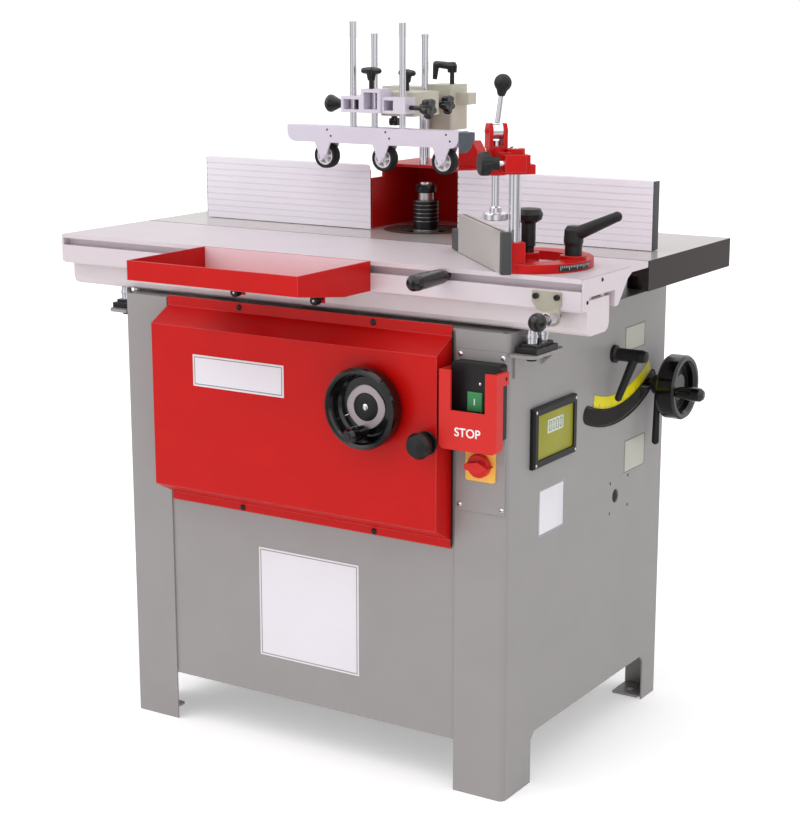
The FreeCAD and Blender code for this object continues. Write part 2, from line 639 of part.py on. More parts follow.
def height_wheel():
    """Dished handwheel with its shaft and a stud for the turning grip."""
    r = WHEEL_RADIUS
    shape = [(0, -80), (10, -80), (10, 3.5), (r - 18, 3.5), (r - 6, 5), (r - 1.5, 8), (r, 12)]
    shape += [(r, 28), (r - 1.5, 32), (r - 5, 34), (r - 9, 33), (r - 11.5, 29), (r - 14, 13)]
    shape += [(r - 18, 9), (12, 9), (12, 11), (0, 11)]
    wheel = lathe(shape, (WHEEL_X, COVER_Y, WHEEL_Z), (0, -1, 0))
    stud = rod(5, (WHEEL_X, COVER_Y - 6, WHEEL_Z - GRIP_OUT), (0, -1, 0), 58)
    return fuse(wheel, stud)


def grip(p, d):
    """Turning grip that runs on its stud."""
    b = 5 + RUN_FIT
    shape = [(b, 0), (8, 0), (10, 6), (12.5, 30), (11.5, 44), (8, 49), (b, 49)]
    return lathe(shape, p, d)


def height_grip():
    """Grip of the front handwheel."""
    return grip((WHEEL_X, COVER_Y - 14, WHEEL_Z - GRIP_OUT), (0, -1, 0))


def height_lock_knob():
    """Mushroom knob that locks the spindle height."""
    shape = [(0, -30), (6, -30), (6, 3), (11, 3), (11, 14), (20, 18), (21, 26), (17, 33), (0, 36)]
    return lathe(shape, (LOCK_X, COVER_Y, LOCK_Z), (0, -1, 0))


def tilt_lock_lever():
    """Clamp lever on the right side that locks the tilt."""
    shape = [(0, -14), (6, -14), (6, 0), (15, 0), (15, 6), (11, 9), (11, 52), (9, 60), (0, 62)]
    barrel = lathe(shape, (SIDE, LEVER_Y, LEVER_Z), (1, 0, 0))
    a = V(SIDE + 40, LEVER_Y, LEVER_Z)
    b = V(SIDE + 23, LEVER_Y - 26, LEVER_Z - 68)
    arm = Part.makeCone(8, 6, (b - a).Length, a, b - a)
    tip = Part.makeSphere(6.3, b)
    return fuse(barrel, arm, tip)


def tilt_wheel():
    """Dished handwheel on the tilt shaft, with a stud for its grip."""
    r = TILT_WHEEL_RADIUS
    end = TRUNNION_X - 25 - SIDE
    shape = [(0, end), (10, end), (10, 37), (18, 37), (18, 44), (r - 14, 46), (r - 12, 38), (r - 3, 38)]
    shape += [(r, 42), (r, 68), (r - 3, 72), (r - 9, 72), (r - 13, 66), (r - 14, 56)]
    shape += [(22, 54), (22, 60), (0, 60)]
    wheel = lathe(shape, (SIDE, TILT_Y, TILT_Z), (1, 0, 0))
    stud = rod(5, (SIDE + 50, TILT_Y - r + 12, TILT_Z), (1, 0, 0), 73)
    return fuse(wheel, stud)


def tilt_shaft_lever():
    """Hanging clamp lever with its collar on the tilt shaft."""
    x = SIDE + 13
    collar = tube(17, 10 + RUN_FIT, (x, TILT_Y, TILT_Z), (1, 0, 0), 14)
    a = V(x + 7, TILT_Y - 4, TILT_Z - 15)
    b = V(x + 7, TILT_Y - 6, TILT_Z - 100)
    arm = Part.makeCone(5, 6.5, (b - a).Length, a, b - a)
    return fuse(collar, arm, Part.makeSphere(6.5, b))


def tilt_grip():
    """Grip of the tilt handwheel."""
    return grip((SIDE + 73, TILT_Y - TILT_WHEEL_RADIUS + 12, TILT_Z), (1, 0, 0))


def sliding_table():
    """Sliding table extrusion: T-slotted front, rail channel, thin back leaf."""
    y0 = DECK_Y0
    t = TABLE_TOP
    leg0 = RAIL_Y0 - 6
    leg1 = RAIL_Y1 + 6
    low = t - 50
    shape = [(y0, t), (y0, t - 7), (y0 + 6, t - 7), (y0 + 6, t - 4.5), (y0 + 14, t - 4.5)]
    shape += [(y0 + 14, t - 21.5), (y0 + 6, t - 21.5), (y0 + 6, t - 19), (y0, t - 19)]
    shape += [(y0, low + 3), (y0 + 3, low), (leg0, low), (leg0, CHANNEL_Z), (leg1, CHANNEL_Z)]
    shape += [(leg1, low - 3), (leg1 + 11, low - 3), (leg1 + 22, low + 8), (leg1 + 32, low + 20)]
    shape += [(leg1 + 44, low + 34), (leg1 + 56, t - 10), (DECK_Y1, t - 10), (DECK_Y1, t)]
    return prism_x(shape, -HALF, HALF)


def end_plate(s):
    """Cover plate on one end of the sliding table."""
    y0 = DECK_Y0 + 1
    t = TABLE_TOP - 1
    leg0 = RAIL_Y0 - 6
    leg1 = RAIL_Y1 + 6
    low = TABLE_TOP - 50
    shape = [(y0, t), (y0, low + 3), (leg0, low), (leg0, CHANNEL_Z), (leg1, CHANNEL_Z), (leg1, low - 3)]
    shape += [(leg1 + 11, low - 3), (leg1 + 22, low + 8), (leg1 + 32, low + 20), (leg1 + 44, low + 34)]
    shape += [(leg1 + 56, t - 9), (leg1 + 60, t)]
    return prism_x(shape, s * HALF, s * (HALF + 4))


def extension_table():
    """Open sheet tray fixed to the front of the sliding table."""
    x0 = -190.0
    x1 = 135.0
    y0 = DECK_Y0 - TRAY_DEPTH
    y1 = DECK_Y0
    t = TABLE_TOP
    s = 2.5
    shape = [(y0, t), (y0, t - 31), (y1 - 73, t - 47), (y1, t - 47), (y1, t)]
    tray = prism_x(shape, x0, x1)
    room = [(y0 + s, t + 1), (y0 + s, t - 31 + s), (y1 - 73, t - 47 + s)]
    room += [(y1 - s, t - 47 + s), (y1 - s, t + 1)]
    return tray.cut(prism_x(room, x0 + s, x1 - s))


def push_handle():
    """Grip screwed into the front slot of the sliding table."""
    z = TABLE_TOP - 13
    shape = [(0, 0), (5.5, 0), (5.5, 14), (10, 14), (11.5, 24), (12.5, 60), (13, 92)]
    shape += [(12, 102), (8, 108), (0, 110)]
    return lathe(shape, (HANDLE_X, DECK_Y0 + 14, z), (0, -1, 0))


def latch_plate():
    """Plate and bush that carry the table latch."""
    top = TABLE_TOP - 22
    shape = [(LATCH_X - 34, top), (LATCH_X + 14, top), (LATCH_X + 14, top - 17), (LATCH_X + 9, top - 27)]
    shape += [(LATCH_X - 9, top - 31), (LATCH_X - 26, top - 27), (LATCH_X - 34, top - 15)]
    plate = prism_y(shape, DECK_Y0 - 3, DECK_Y0)
    lobe = rod(13, (LATCH_X, DECK_Y0 - 3, LATCH_Z), (0, 1, 0), 3)
    neck = box(LATCH_X - 12, LATCH_X + 12, DECK_Y0 - 3, DECK_Y0, LATCH_Z, top - 20)
    barrel = rod(10.5, (LATCH_X, DECK_Y0 - 24, LATCH_Z), (0, 1, 0), 24)
    body = fuse(plate, lobe, neck, barrel)
    for x in (LATCH_X - 27, LATCH_X + 8):
        body = fuse(body, screw(4, (x, DECK_Y0 - 3, TABLE_TOP - 29), (0, -1, 0)))
    return body.cut(rod(5 + RUN_FIT, (LATCH_X, DECK_Y0 - 25, LATCH_Z), (0, 1, 0), 26))


def latch_plunger():
    """Pull pin with its ball."""
    pin = rod(5, (LATCH_X, DECK_Y0 - 40, LATCH_Z), (0, 1, 0), 57)
    ball = Part.makeSphere(14, V(LATCH_X, DECK_Y0 - 48, LATCH_Z))
    return fuse(pin, ball)


def place_mitre(shape):
    """Turn and move a piece drawn about the mitre pivot onto the sliding table."""
    turn = FreeCAD.Rotation(V(0, 0, 1), MITRE_ANGLE)
    spot = FreeCAD.Placement(V(MITRE_X, MITRE_Y, TABLE_TOP), turn)
    shape.Placement = spot.multiply(shape.Placement)
    return shape


def mitre_base():
    """Open curved base of the mitre gauge with hub, lock pad and pillar socket."""
    r = MITRE_RADIUS
    ring = tube(r, r - 36, (0, 0, 0), (0, 0, 1), 14)
    ring = ring.cut(box(-r - 1, r + 1, -r - 1, FENCE_V, -1, 15))
    back = box(-80, PILLAR_U + 14, FENCE_V, FENCE_V + 10, 0, 40)
    socket = box(PILLAR_U - 14, PILLAR_U + 14, FENCE_V, PILLAR_V + 13, 0, 46)
    hub = rod(17, (0, 0, 0), (0, 0, 1), 20)
    spoke = box(-9, 9, FENCE_V + 1, 0, 0, 14)
    cross = box(0, r - 30, -7, 7, 0, 10)
    pad = rod(20, (LEVER_U, LEVER_V, 0), (0, 0, 1), 20)
    base = fuse(ring, back, socket, hub, spoke, cross, pad)
    base = base.cut(rod(6 + RUN_FIT, (0, 0, 4), (0, 0, 1), 30))
    base = base.cut(rod(6 + RUN_FIT, (LEVER_U, LEVER_V, 4), (0, 0, 1), 30))
    return base.cut(rod(PILLAR_RADIUS, (PILLAR_U, PILLAR_V, 10), (0, 0, 1), 60))


def mitre_fence():
    """Aluminium fence bar with an end cap and a low end block."""
    front = FENCE_V - MITRE_THICK
    bar = box(-158, 86, front, FENCE_V, 1, 62)
    bar = bar.cut(box(-159, 87, FENCE_V - 9, FENCE_V - 4, 20, 44))
    cap = box(86, 98, front - 0.5, FENCE_V, 0.5, 62.5)
    block = box(-205, -158, front + 2, FENCE_V - 2, 1, 33)
    return [bar, cap, block]


def clamp_pillar():
    """Steel pillar of the workpiece clamp."""
    shape = [(0, 0), (PILLAR_RADIUS, 0), (PILLAR_RADIUS, 174), (PILLAR_RADIUS - 2, 176), (0, 176)]
    return lathe(shape, (PILLAR_U, PILLAR_V, 10), (0, 0, 1))


def mitre_lock_lever():
    """Ratchet lever that locks the mitre angle."""
    shape = [(0, -12), (6, -12), (6, 0), (13, 0), (13, 14), (15, 20), (14, 38), (10, 44), (0, 45)]
    hub = lathe(shape, (LEVER_U, LEVER_V, 20), (0, 0, 1))
    a = V(LEVER_U, LEVER_V, 20 + 30)
    b = V(LEVER_U + 50, LEVER_V + 50, 20 + 62)
    arm = Part.makeCone(11, 7.5, (b - a).Length, a, b - a)
    return fuse(hub, arm, Part.makeSphere(7.8, b))


def mitre_knob():
    """Mushroom knob on the mitre pivot."""
    shape = [(0, -12), (6, -12), (6, 0), (9, 0), (9, 8), (11, 10), (11, 44)]
    shape += [(20, 50), (22, 58), (18, 66), (0, 68)]
    return lathe(shape, (0, 0, 20), (0, 0, 1))


def clamp_head():
    """Red clamp head: sleeve on the pillar, arm, guide, clamp ear and lever cheeks."""
    z = HEAD_LOW
    sleeve = rod(14, (PILLAR_U, PILLAR_V, z), (0, 0, 1), 37)
    guide = rod(15, (PRESS_U, PRESS_V, z - 2), (0, 0, 1), 42)
    arm = box(PRESS_U - 10, PILLAR_U + 10, PRESS_V, PILLAR_V, z, z + 32)
    tail = box(PILLAR_U - 8, PILLAR_U + 14, PILLAR_V, PILLAR_V + 19, z, z + 28)
    toe = box(PILLAR_U - 8, PILLAR_U + 14, PILLAR_V + 18, PILLAR_V + 27, z, z + 14)
    ear = box(PILLAR_U + 8, PILLAR_U + 25, PILLAR_V - 22, PILLAR_V + 10, z + 4, z + 29)
    parts = [sleeve, guide, arm, tail, toe, ear]
    for s in (-1, 1):
        v = PRESS_V + 11 * s
        cheek = [(PRESS_U - 13, z + 36), (PRESS_U + 13, z + 36), (PRESS_U + 13, z + 64), (PRESS_U + 8, z + 73)]
        cheek += [(PRESS_U - 8, z + 73), (PRESS_U - 13, z + 64)]
        parts.append(prism_y(cheek, v - 3, v + 3))
    parts.append(rod(4, (PRESS_U, PRESS_V - 17, PIVOT_HIGH), (0, 1, 0), 34))
    head = fuse(*parts)
    head = head.cut(rod(PILLAR_RADIUS + RUN_FIT, (PILLAR_U, PILLAR_V, z - 5), (0, 0, 1), 60))
    return head.cut(rod(6 + RUN_FIT, (PRESS_U, PRESS_V, z - 5), (0, 0, 1), 55))


def clamp_lever():
    """Cam lever with ball that presses the workpiece clamp."""
    z = PIVOT_HIGH
    cam = rod(12, (PRESS_U, PRESS_V - 7.5, z), (0, 1, 0), 15)
    cam = cam.cut(rod(4 + RUN_FIT, (PRESS_U, PRESS_V - 8, z), (0, 1, 0), 16))
    a = V(PRESS_U, PRESS_V + 1, z + 9)
    b = V(PRESS_U, PRESS_V + 9, z + 69)
    out = (b - a).normalize()
    arm = Part.makeCone(3.6, 3.4, (b - a).Length, a, b - a)
    neck = Part.makeCone(5, 9, 11, b - out * 19, b - a)
    return fuse(cam, arm, neck, Part.makeSphere(13, b))


def hold_down():
    """Sliding rod and foot of the workpiece clamp."""
    shape = [(0, 0), (17.5, 0), (18.5, 1), (18.5, 9), (17.5, 10), (9, 10)]
    shape += [(9, 18), (6, 20), (6, 116), (0, 116)]
    return lathe(shape, (PRESS_U, PRESS_V, HEAD_LOW - 68), (0, 0, 1))


def hood():
    """Cutter hood: walls, top, fence wings, raised block and dust stub."""
    t = TABLE_TOP
    y0 = FENCE_BACK
    y1 = HOOD_Y1
    x0 = HOOD_X0
    x1 = HOOD_X1
    body = box(x0, x1, y0, y1, t, HOOD_TOP)
    parts = [body]
    parts.append(box(x0 - 130, x0 + 2, y0, y0 + 6, t, HOOD_TOP - 10))
    parts.append(box(x1 - 2, x1 + 130, y0, y0 + 6, t, HOOD_TOP - 10))
    z = HOOD_TOP
    block = [(70, z - 1), (108, z - 1), (108, z + 30), (98, z + 46), (70, z + 46)]
    parts.append(prism_y(block, SPINDLE_Y - 8, SPINDLE_Y + 20))
    zc = t + 57
    xc = DUST_X
    parts.append(rod(50, (xc, y1 - 1, zc), (0, 1, 0), 41))
    shell = fuse(*parts)
    shell = shell.cut(box(x0 + 5, x1 - 5, y0 - 1, y1 - 5, t - 1, HOOD_TOP - 5))
    shell = shell.cut(box(x0 + 5, x1 - 45, y0 - 1, SPINDLE_Y + 1, HOOD_TOP - 6, HOOD_TOP + 1))
    shell = shell.cut(box(x0 - 1, x0 + 6, y0 - 1, y0 + 40, HOOD_TOP - 24, HOOD_TOP + 1))
    shell = shell.cut(rod(47, (xc, y1 - 10, zc), (0, 1, 0), 60))
    return shell


def fence_plate(x0, x1, s):
    """One fence plate: fine grooves on its face, a slot behind, inner end bevelled away from the cutter."""
    z0 = TABLE_TOP + 1
    plate = box(x0, x1, FENCE_Y, FENCE_BACK, z0, z0 + FENCE_HEIGHT)
    for k in range(9):
        z = z0 + (k + 1) * FENCE_HEIGHT / 10
        plate = plate.cut(box(x0 - 1, x1 + 1, FENCE_Y - 1, FENCE_Y + 1, z - 0.8, z + 0.8))
    mid = z0 + FENCE_HEIGHT / 2
    plate = plate.cut(box(x0 - 1, x1 + 1, FENCE_BACK - 9, FENCE_BACK + 1, mid - 6, mid + 6))
    end = x1 if s > 0 else x0
    back = end - s * FENCE_THICK
    bevel = [(end, FENCE_Y), (end + s, FENCE_Y), (end + s, FENCE_BACK + 1), (back - s, FENCE_BACK + 1)]
    return plate.cut(prism_z(bevel, z0 - 1, z0 + FENCE_HEIGHT + 1))


def pressure_post():
    """Post of the pressure device: sleeve below, thinner rod above."""
    h = ARM_Z - HOOD_TOP
    shape = [(0, 0), (9.5, 0), (9.5, h), (6, h), (6, h + 136), (0, h + 137)]
    return lathe(shape, (POST_X, POST_Y, HOOD_TOP), (0, 0, 1))


def pressure_bracket():
    """Cast bracket that slides on the post, with a nose that carries the arms."""
    y = POST_Y + 12
    z = ARM_Z
    x = BRACKET_X
    arm = box(-108, 12, y, y + 50, z, z + 45)
    body = box(x, x + 54, y, y + 58, z - 28, z + 50)
    body = body.makeFillet(4, [e for e in body.Edges if e.BoundBox.ZLength > 1])
    ear = box(x + 52, x + 78, y + 18, y + 46, z + 16, z + 36)
    collar = box(POST_X - 18, 12, POST_Y - 31, y + 1, z, z + 34)
    nose = box(-30, 36, BAR_Y + 16, POST_Y - 30, z + 2, z + 42)
    nose = nose.makeFillet(4, [e for e in nose.Edges if e.BoundBox.ZLength > 1 and e.BoundBox.XMin > 0])
    cast = fuse(arm, body, ear, collar, nose)
    return cast.cut(rod(6 + RUN_FIT, (POST_X, POST_Y, z - 1), (0, 0, 1), 60))


def guide_rods():
    """Place, offset and height of the three upright rods of the roller bar."""
    left = BAR_X - 44
    return [(left, 0, ROD_HEIGHT), (left + 40, 5, ROD_HEIGHT - 20), (left + 99, 0, ROD_HEIGHT - 2)]


def pressure_arms():
    """Square tubes that carry the vertical rods, joined into one clamp."""
    z = ARM_Z + 8
    y0 = BAR_Y - 20
    y1 = POST_Y + 12
    left = box(-88, -47, y0, y1, z, z + 27)
    mid = box(-48, -9, y0, BAR_Y + 16, z, z + 40)
    cross = box(-10, 38, BAR_Y - 16, BAR_Y + 16, z, z + 27)
    body = fuse(left, mid, cross)
    body = body.cut(box(-83, -52, y0 - 1, y1 + 1, z + 5, z + 22))
    body = body.cut(box(-42, -15, y0 - 1, BAR_Y + 17, z + 6, z + 34))
    body = body.cut(box(-4, 14, y0 - 1, BAR_Y + 17, z + 5, z + 22))
    for x, dy, h in guide_rods():
        body = body.cut(rod(ROD_RADIUS + RUN_FIT, (x, BAR_Y + dy, z - 1), (0, 0, 1), 60))
    return body


def pressure_bar():
    """Roller bar: channel, tapered forks with axles and three vertical rods."""
    z = BAR_Z
    x0 = BAR_X - BAR_LENGTH / 2
    x1 = BAR_X + BAR_LENGTH / 2
    y0 = BAR_Y - 15
    y1 = BAR_Y + 15
    bar = box(x0, x1, y0, y1, z, z + 28)
    low = [e for e in bar.Edges if e.BoundBox.YLength > 1 and e.BoundBox.ZMax < z + 1]
    bar = bar.makeFillet(16, low)
    bar = bar.cut(box(x0 + 16, x1 - 16, y0 + 3, y1 - 3, z - 1, z + 25))
    parts = [bar]
    for k in (-1, 0, 1):
        x = BAR_X + ROLLER_SHIFT + ROLLER_PITCH * k
        shape = [(x - 17, z + 2), (x + 17, z + 2), (x + 5, ROLLER_Z - 4), (x - 5, ROLLER_Z - 4)]
        parts.append(prism_y(shape, y0, y0 + 3))
        parts.append(prism_y(shape, y1 - 3, y1))
        parts.append(rod(4, (x, y0 - 2, ROLLER_Z), (0, 1, 0), 34))
    for x, dy, h in guide_rods():
        parts.append(rod(ROD_RADIUS, (x, BAR_Y + dy, z + 26), (0, 0, 1), h - 26))
    return fuse(*parts)


def press_wheel(k):
    """Rubber-tyred pressure roller."""
    x = BAR_X + ROLLER_SHIFT + ROLLER_PITCH * k
    b = 4 + RUN_FIT
    r = ROLLER_RADIUS
    shape = [(b, -11), (7, -11), (7, -6), (r - 6.5, -6), (r - 5.5, -10), (r - 2, -10), (r, -7)]
    shape += [(r, 7), (r - 2, 10), (r - 5.5, 10), (r - 6.5, 6), (7, 6), (7, 11), (b, 11)]
    return lathe(shape, (x, BAR_Y, ROLLER_Z), (0, 1, 0))


def star_knob(p, d, stem, r):
    """Five-lobed clamp knob on a stem."""
    shape = [(0, 0), (4, 0), (4, stem), (r * 0.45, stem), (r * 0.5, stem + 7), (r * 0.72, stem + 10)]
    shape += [(r * 0.8, stem + 15), (r * 0.7, stem + 20), (0, stem + 22)]
    knob = lathe(shape, (0, 0, 0), (0, 0, 1))
    for k in range(5):
        a = math.radians(72 * k)
        spot = (0.66 * r * math.cos(a), 0.66 * r * math.sin(a), stem + 8)
        lobe = [(0, 0), (r * 0.26, 0), (r * 0.34, 4), (r * 0.34, 9), (r * 0.24, 13), (0, 13)]
        knob = knob.fuse(lathe(lobe, spot, (0, 0, 1)))
    knob = knob.removeSplitter()
    knob.Placement = FreeCAD.Placement(V(*p), FreeCAD.Rotation(V(0, 0, 1), V(*d)))
    return knob


def wing_knob(x, y, z, turn):
    """Upright T-shaped clamp knob: stem, hub and two tapered wings."""
    shape = [(0, 0), (4, 0), (4, 14), (6, 14), (8, 24), (9, 32), (6, 36), (0, 37)]
    hub = lathe(shape, (x, y, z), (0, 0, 1))
    across = V(math.cos(math.radians(turn)), math.sin(math.radians(turn)), 0)
    middle = V(x, y, z + 30)
    for s in (-1, 1):
        tip = middle + across * (15 * s)
        hub = hub.fuse(Part.makeCone(7, 5, 15, middle, across * s)).fuse(Part.makeSphere(5, tip))
    return hub.removeSplitter()


def bent_lever(x, y, z):
    """Clamp lever with a bent arm on an upright bolt."""
    hub = lathe([(0, 0), (4, 0), (4, 20), (8, 20), (9, 32), (6, 38), (0, 39)], (x, y, z), (0, 0, 1))
    elbow = V(x - 30, y - 4, z + 34)
    tip = V(x - 33, y - 4, z + 8)
    shoulder = V(x, y, z + 31)
    arm = Part.makeCone(7, 6, (elbow - shoulder).Length, shoulder, elbow - shoulder)
    drop = Part.makeCone(6, 4, (tip - elbow).Length, elbow, tip - elbow)
    return fuse(hub, arm, Part.makeSphere(6, elbow), drop)


def pressure_knobs():
    """Clamp knobs and levers of the pressure device."""
    z = ARM_Z + 8
    y = BAR_Y
    cone = [(0, 0), (3.5, 0), (3.5, 8), (5, 10), (15, 32), (15, 36), (12, 40), (0, 42)]
    out = [lathe(cone, (BAR_X - 56, y, z + 13), (-1, 0, 0))]
    out.append(wing_knob(BAR_X + 1, y - 13, z + 40, 0))
    out.append(wing_knob(BAR_X + 20, y + 70, ARM_Z + 42, -15))
    out.append(star_knob((BAR_X + 70, y, z + 10), (1, 0, 0), 22, 18))
    out.append(star_knob((12, POST_Y - 7, z + 10), (1, 0, 0), 12, 17))
    out.append(bent_lever(BRACKET_X + 38, POST_Y + 42, ARM_Z + 50))
    out.append(star_knob((BAR_X - 66, POST_Y + 36, ARM_Z), (0, 0, -1), 4, 11))
    return out


def build_cabinet():
    """Cabinet, tables and every fixed piece."""
    save("left_side_panel", mirror_x(side_wall()))
    save("right_side_panel", right_wall())
    save("front_panel", front_panel())
    save("rear_panel", rear_panel())
    save("top_frame", top_frame())
    save("front_cover", front_cover())
    save("fasteners", *fasteners())
    save("switch_plate", switch_plate())
    save("switch_box", switch_box())
    save("isolator_plate", isolator_plate())
    save("display_unit", display_unit())
    save("main_table", main_table())
    save("insert_ring", insert_ring())
    save("rail_brackets", rail_bracket(), mirror_x(rail_bracket()))
    save("guide_rail", *guide_rail())
    save("trunnion_brackets", trunnion_bracket(-1), trunnion_bracket(1))


def build_controls():
    """Switches, locks and handwheels."""
    save("start_button", start_button())
    save("stop_flap", stop_flap())
    save("isolator_knob", isolator_knob())
    save("height_lock_knob", height_lock_knob())
    save("tilt_lock_lever", tilt_lock_lever())
    save("height_wheel", height_wheel())
    save("height_wheel_grip", height_grip())
    save("tilt_wheel", tilt_wheel())
    save("tilt_wheel_grip", tilt_grip())
    save("tilt_shaft_lever", tilt_shaft_lever())


def build_spindle():
    """Tilting unit, spindle carriage, spindle and drive."""
    save("tilt_frame", tilt_frame())
    save("lift_screw", lift_screw())
    save("quill_housing", quill_housing())
    save("spindle_bearings", bearing(QUILL_LOW + 5), bearing(QUILL_TOP - 23))
    save("motor", motor())
    save("drive_belt", drive_belt())
    save("spindle_arbor", spindle_arbor())
    save("ring_stack", *ring_stack())
    save("motor_pulley", motor_pulley())


def build_sliding_table():
    """Sliding table and what is fixed to it, with the mitre gauge and clamp."""
    save("sliding_table", sliding_table())
    save("sliding_end_plates", end_plate(-1), end_plate(1))
    save("extension_table", extension_table())
    save("push_handle", push_handle())
    save("latch_plate", latch_plate())
    save("latch_plunger", latch_plunger())
    save("mitre_base", place_mitre(mitre_base()))
    save("mitre_fence", *[place_mitre(s) for s in mitre_fence()])
    save("clamp_pillar", place_mitre(clamp_pillar()))
    save("mitre_lock_lever", place_mitre(mitre_lock_lever()))
    save("mitre_knob", place_mitre(mitre_knob()))
    save("clamp_head", place_mitre(clamp_head()))
    save("clamp_lever", place_mitre(clamp_lever()))
    save("hold_down", place_mitre(hold_down()))


def build_fence():
    """Hood, fence plates and pressure device."""
    save("hood", hood())
    left = HOOD_X0 + 16
    right = HOOD_X1 - 14
    save("left_fence", fence_plate(left - FENCE_LENGTH, left, 1))
    save("right_fence", fence_plate(right, right + FENCE_LENGTH, -1))
    save("pressure_post", pressure_post())
    save("pressure_bracket", pressure_bracket())
    save("pressure_arms", pressure_arms())
    save("pressure_bar", pressure_bar())
    save("press_wheel_left", press_wheel(-1))
    save("press_wheel_middle", press_wheel(0))
    save("press_wheel_right", press_wheel(1))
    save("pressure_knobs", *pressure_knobs())


def main():
    """Build every node into the parts folder."""
    os.makedirs("parts", exist_ok=True)
    build_cabinet()
    build_controls()
    build_spindle()
    build_sliding_table()
    build_fence()


main()
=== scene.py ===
"""Looks of a floor-standing spindle moulder: a finish for every node, and small pieces on its bodies."""
import json
import logging
import math
from dataclasses import dataclass
from enum import Enum

import bmesh
import bpy
from mathutils import Matrix, Vector


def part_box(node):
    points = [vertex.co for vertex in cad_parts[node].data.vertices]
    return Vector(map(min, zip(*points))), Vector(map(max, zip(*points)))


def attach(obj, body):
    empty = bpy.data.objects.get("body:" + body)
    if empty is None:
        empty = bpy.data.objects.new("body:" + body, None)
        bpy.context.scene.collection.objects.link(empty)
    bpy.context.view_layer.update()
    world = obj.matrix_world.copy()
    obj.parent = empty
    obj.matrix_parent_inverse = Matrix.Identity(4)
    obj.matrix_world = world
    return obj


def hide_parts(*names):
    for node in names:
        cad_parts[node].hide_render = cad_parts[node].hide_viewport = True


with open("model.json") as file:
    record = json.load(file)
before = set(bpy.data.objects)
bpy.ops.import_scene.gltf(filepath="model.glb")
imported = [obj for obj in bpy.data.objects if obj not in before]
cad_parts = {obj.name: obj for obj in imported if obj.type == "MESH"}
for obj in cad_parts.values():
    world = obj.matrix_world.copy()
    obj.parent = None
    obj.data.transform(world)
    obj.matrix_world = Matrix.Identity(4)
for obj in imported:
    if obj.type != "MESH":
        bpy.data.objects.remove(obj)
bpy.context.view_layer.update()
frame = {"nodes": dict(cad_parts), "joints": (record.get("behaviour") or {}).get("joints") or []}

LOG = logging.getLogger("moulder")
MM = 0.001
SHARP_ANGLE = math.radians(35)
WELD = 0.002
LETTER_DEPTH = 0.00015
LETTER_WEIGHT = 0.0003
COAT_ROUGH = 0.08
GRAIN_DEPTH = 0.0002
WHITE = (1.0, 1.0, 1.0, 1.0)

Colour = tuple[float, float, float]
Spot = tuple[float, float, float]
Pair = tuple[float, float]
Span = tuple[Pair, Pair]
Box = tuple[Spot, Spot]

RIGHT: Spot = (1, 0, 0)
FRONT: Spot = (0, -1, 0)
BACK: Spot = (0, 1, 0)
UP: Spot = (0, 0, 1)


def tone(red: int, green: int, blue: int) -> Colour:
    """Colour as a screen shows it, turned into linear light.

    Args:
        red: Red part, 0 to 255.
        green: Green part, 0 to 255.
        blue: Blue part, 0 to 255.

    Returns:
        The three linear parts, 0 to 1.
    """
    def linear(part: int) -> float:
        """One part in linear light."""
        share = part / 255
        return share / 12.92 if share < 0.04045 else ((share + 0.055) / 1.055) ** 2.4

    return linear(red), linear(green), linear(blue)


class Body(Enum):
    """Bodies of the machine that scene pieces ride on."""

    CABINET = "cabinet"
    START = "start_button"
    FLAP = "stop_flap"
    HEIGHT_WHEEL = "height_wheel"
    SLIDING = "sliding_table"
    LATCH = "latch_pin"
    GAUGE = "mitre_gauge"
    CLAMP = "clamp_head"
    CLAMP_LEVER = "clamp_lever"
    LEFT_FENCE = "left_fence"
    RIGHT_FENCE = "right_fence"
    BAR = "pressure_bar"
    ROLLER_LEFT = "roller_left"
    ROLLER_MIDDLE = "roller_middle"
    ROLLER_RIGHT = "roller_right"
    SPINDLE = "spindle"


class Slot(Enum):
    """Material slots of the record."""

    GREY = "grey_paint"
    RED = "red_paint"
    BLACK = "black_plastic"
    RED_PLASTIC = "red_plastic"
    YELLOW = "yellow_plastic"
    GREEN = "green_plastic"
    ALUMINIUM = "aluminium"
    STEEL = "steel"
    BRIGHT = "bright_steel"
    DARK_STEEL = "black_steel"
    RUBBER = "rubber"


class Lay(Enum):
    """Direction of a surface's fine grain, as a stretch of its pattern."""

    EVEN = (1.0, 1.0, 1.0)
    LENGTH = (0.02, 1.0, 1.0)
    UPRIGHT = (1.0, 1.0, 0.02)


class Graph:
    """Node tree of a material or of the world, with short calls to add and join nodes."""

    def __init__(self, owner: bpy.types.Material | bpy.types.World) -> None:
        """Start an empty node tree.

        Args:
            owner: Material or world that the tree belongs to.
        """
        owner.use_nodes = True
        self.tree = owner.node_tree
        self.tree.nodes.clear()

    def add(self, kind: str, **values: object) -> bpy.types.ShaderNode:
        """Add a node.

        Args:
            kind: Node type after the common prefix.
            values: Input values by name, with _ for a space, or node settings.

        Returns:
            The new node.
        """
        made = self.tree.nodes.new("ShaderNode" + kind)
        for key, value in values.items():
            label = key.replace("_", " ")
            if label in made.inputs:
                made.inputs[label].default_value = value
            else:
                setattr(made, key, value)
        return made

    def join(self, source: bpy.types.ShaderNode, out: str | int,
             target: bpy.types.ShaderNode, into: str | int) -> None:
        """Link an output to an input by their names or places."""
        self.tree.links.new(source.outputs[out], target.inputs[into])


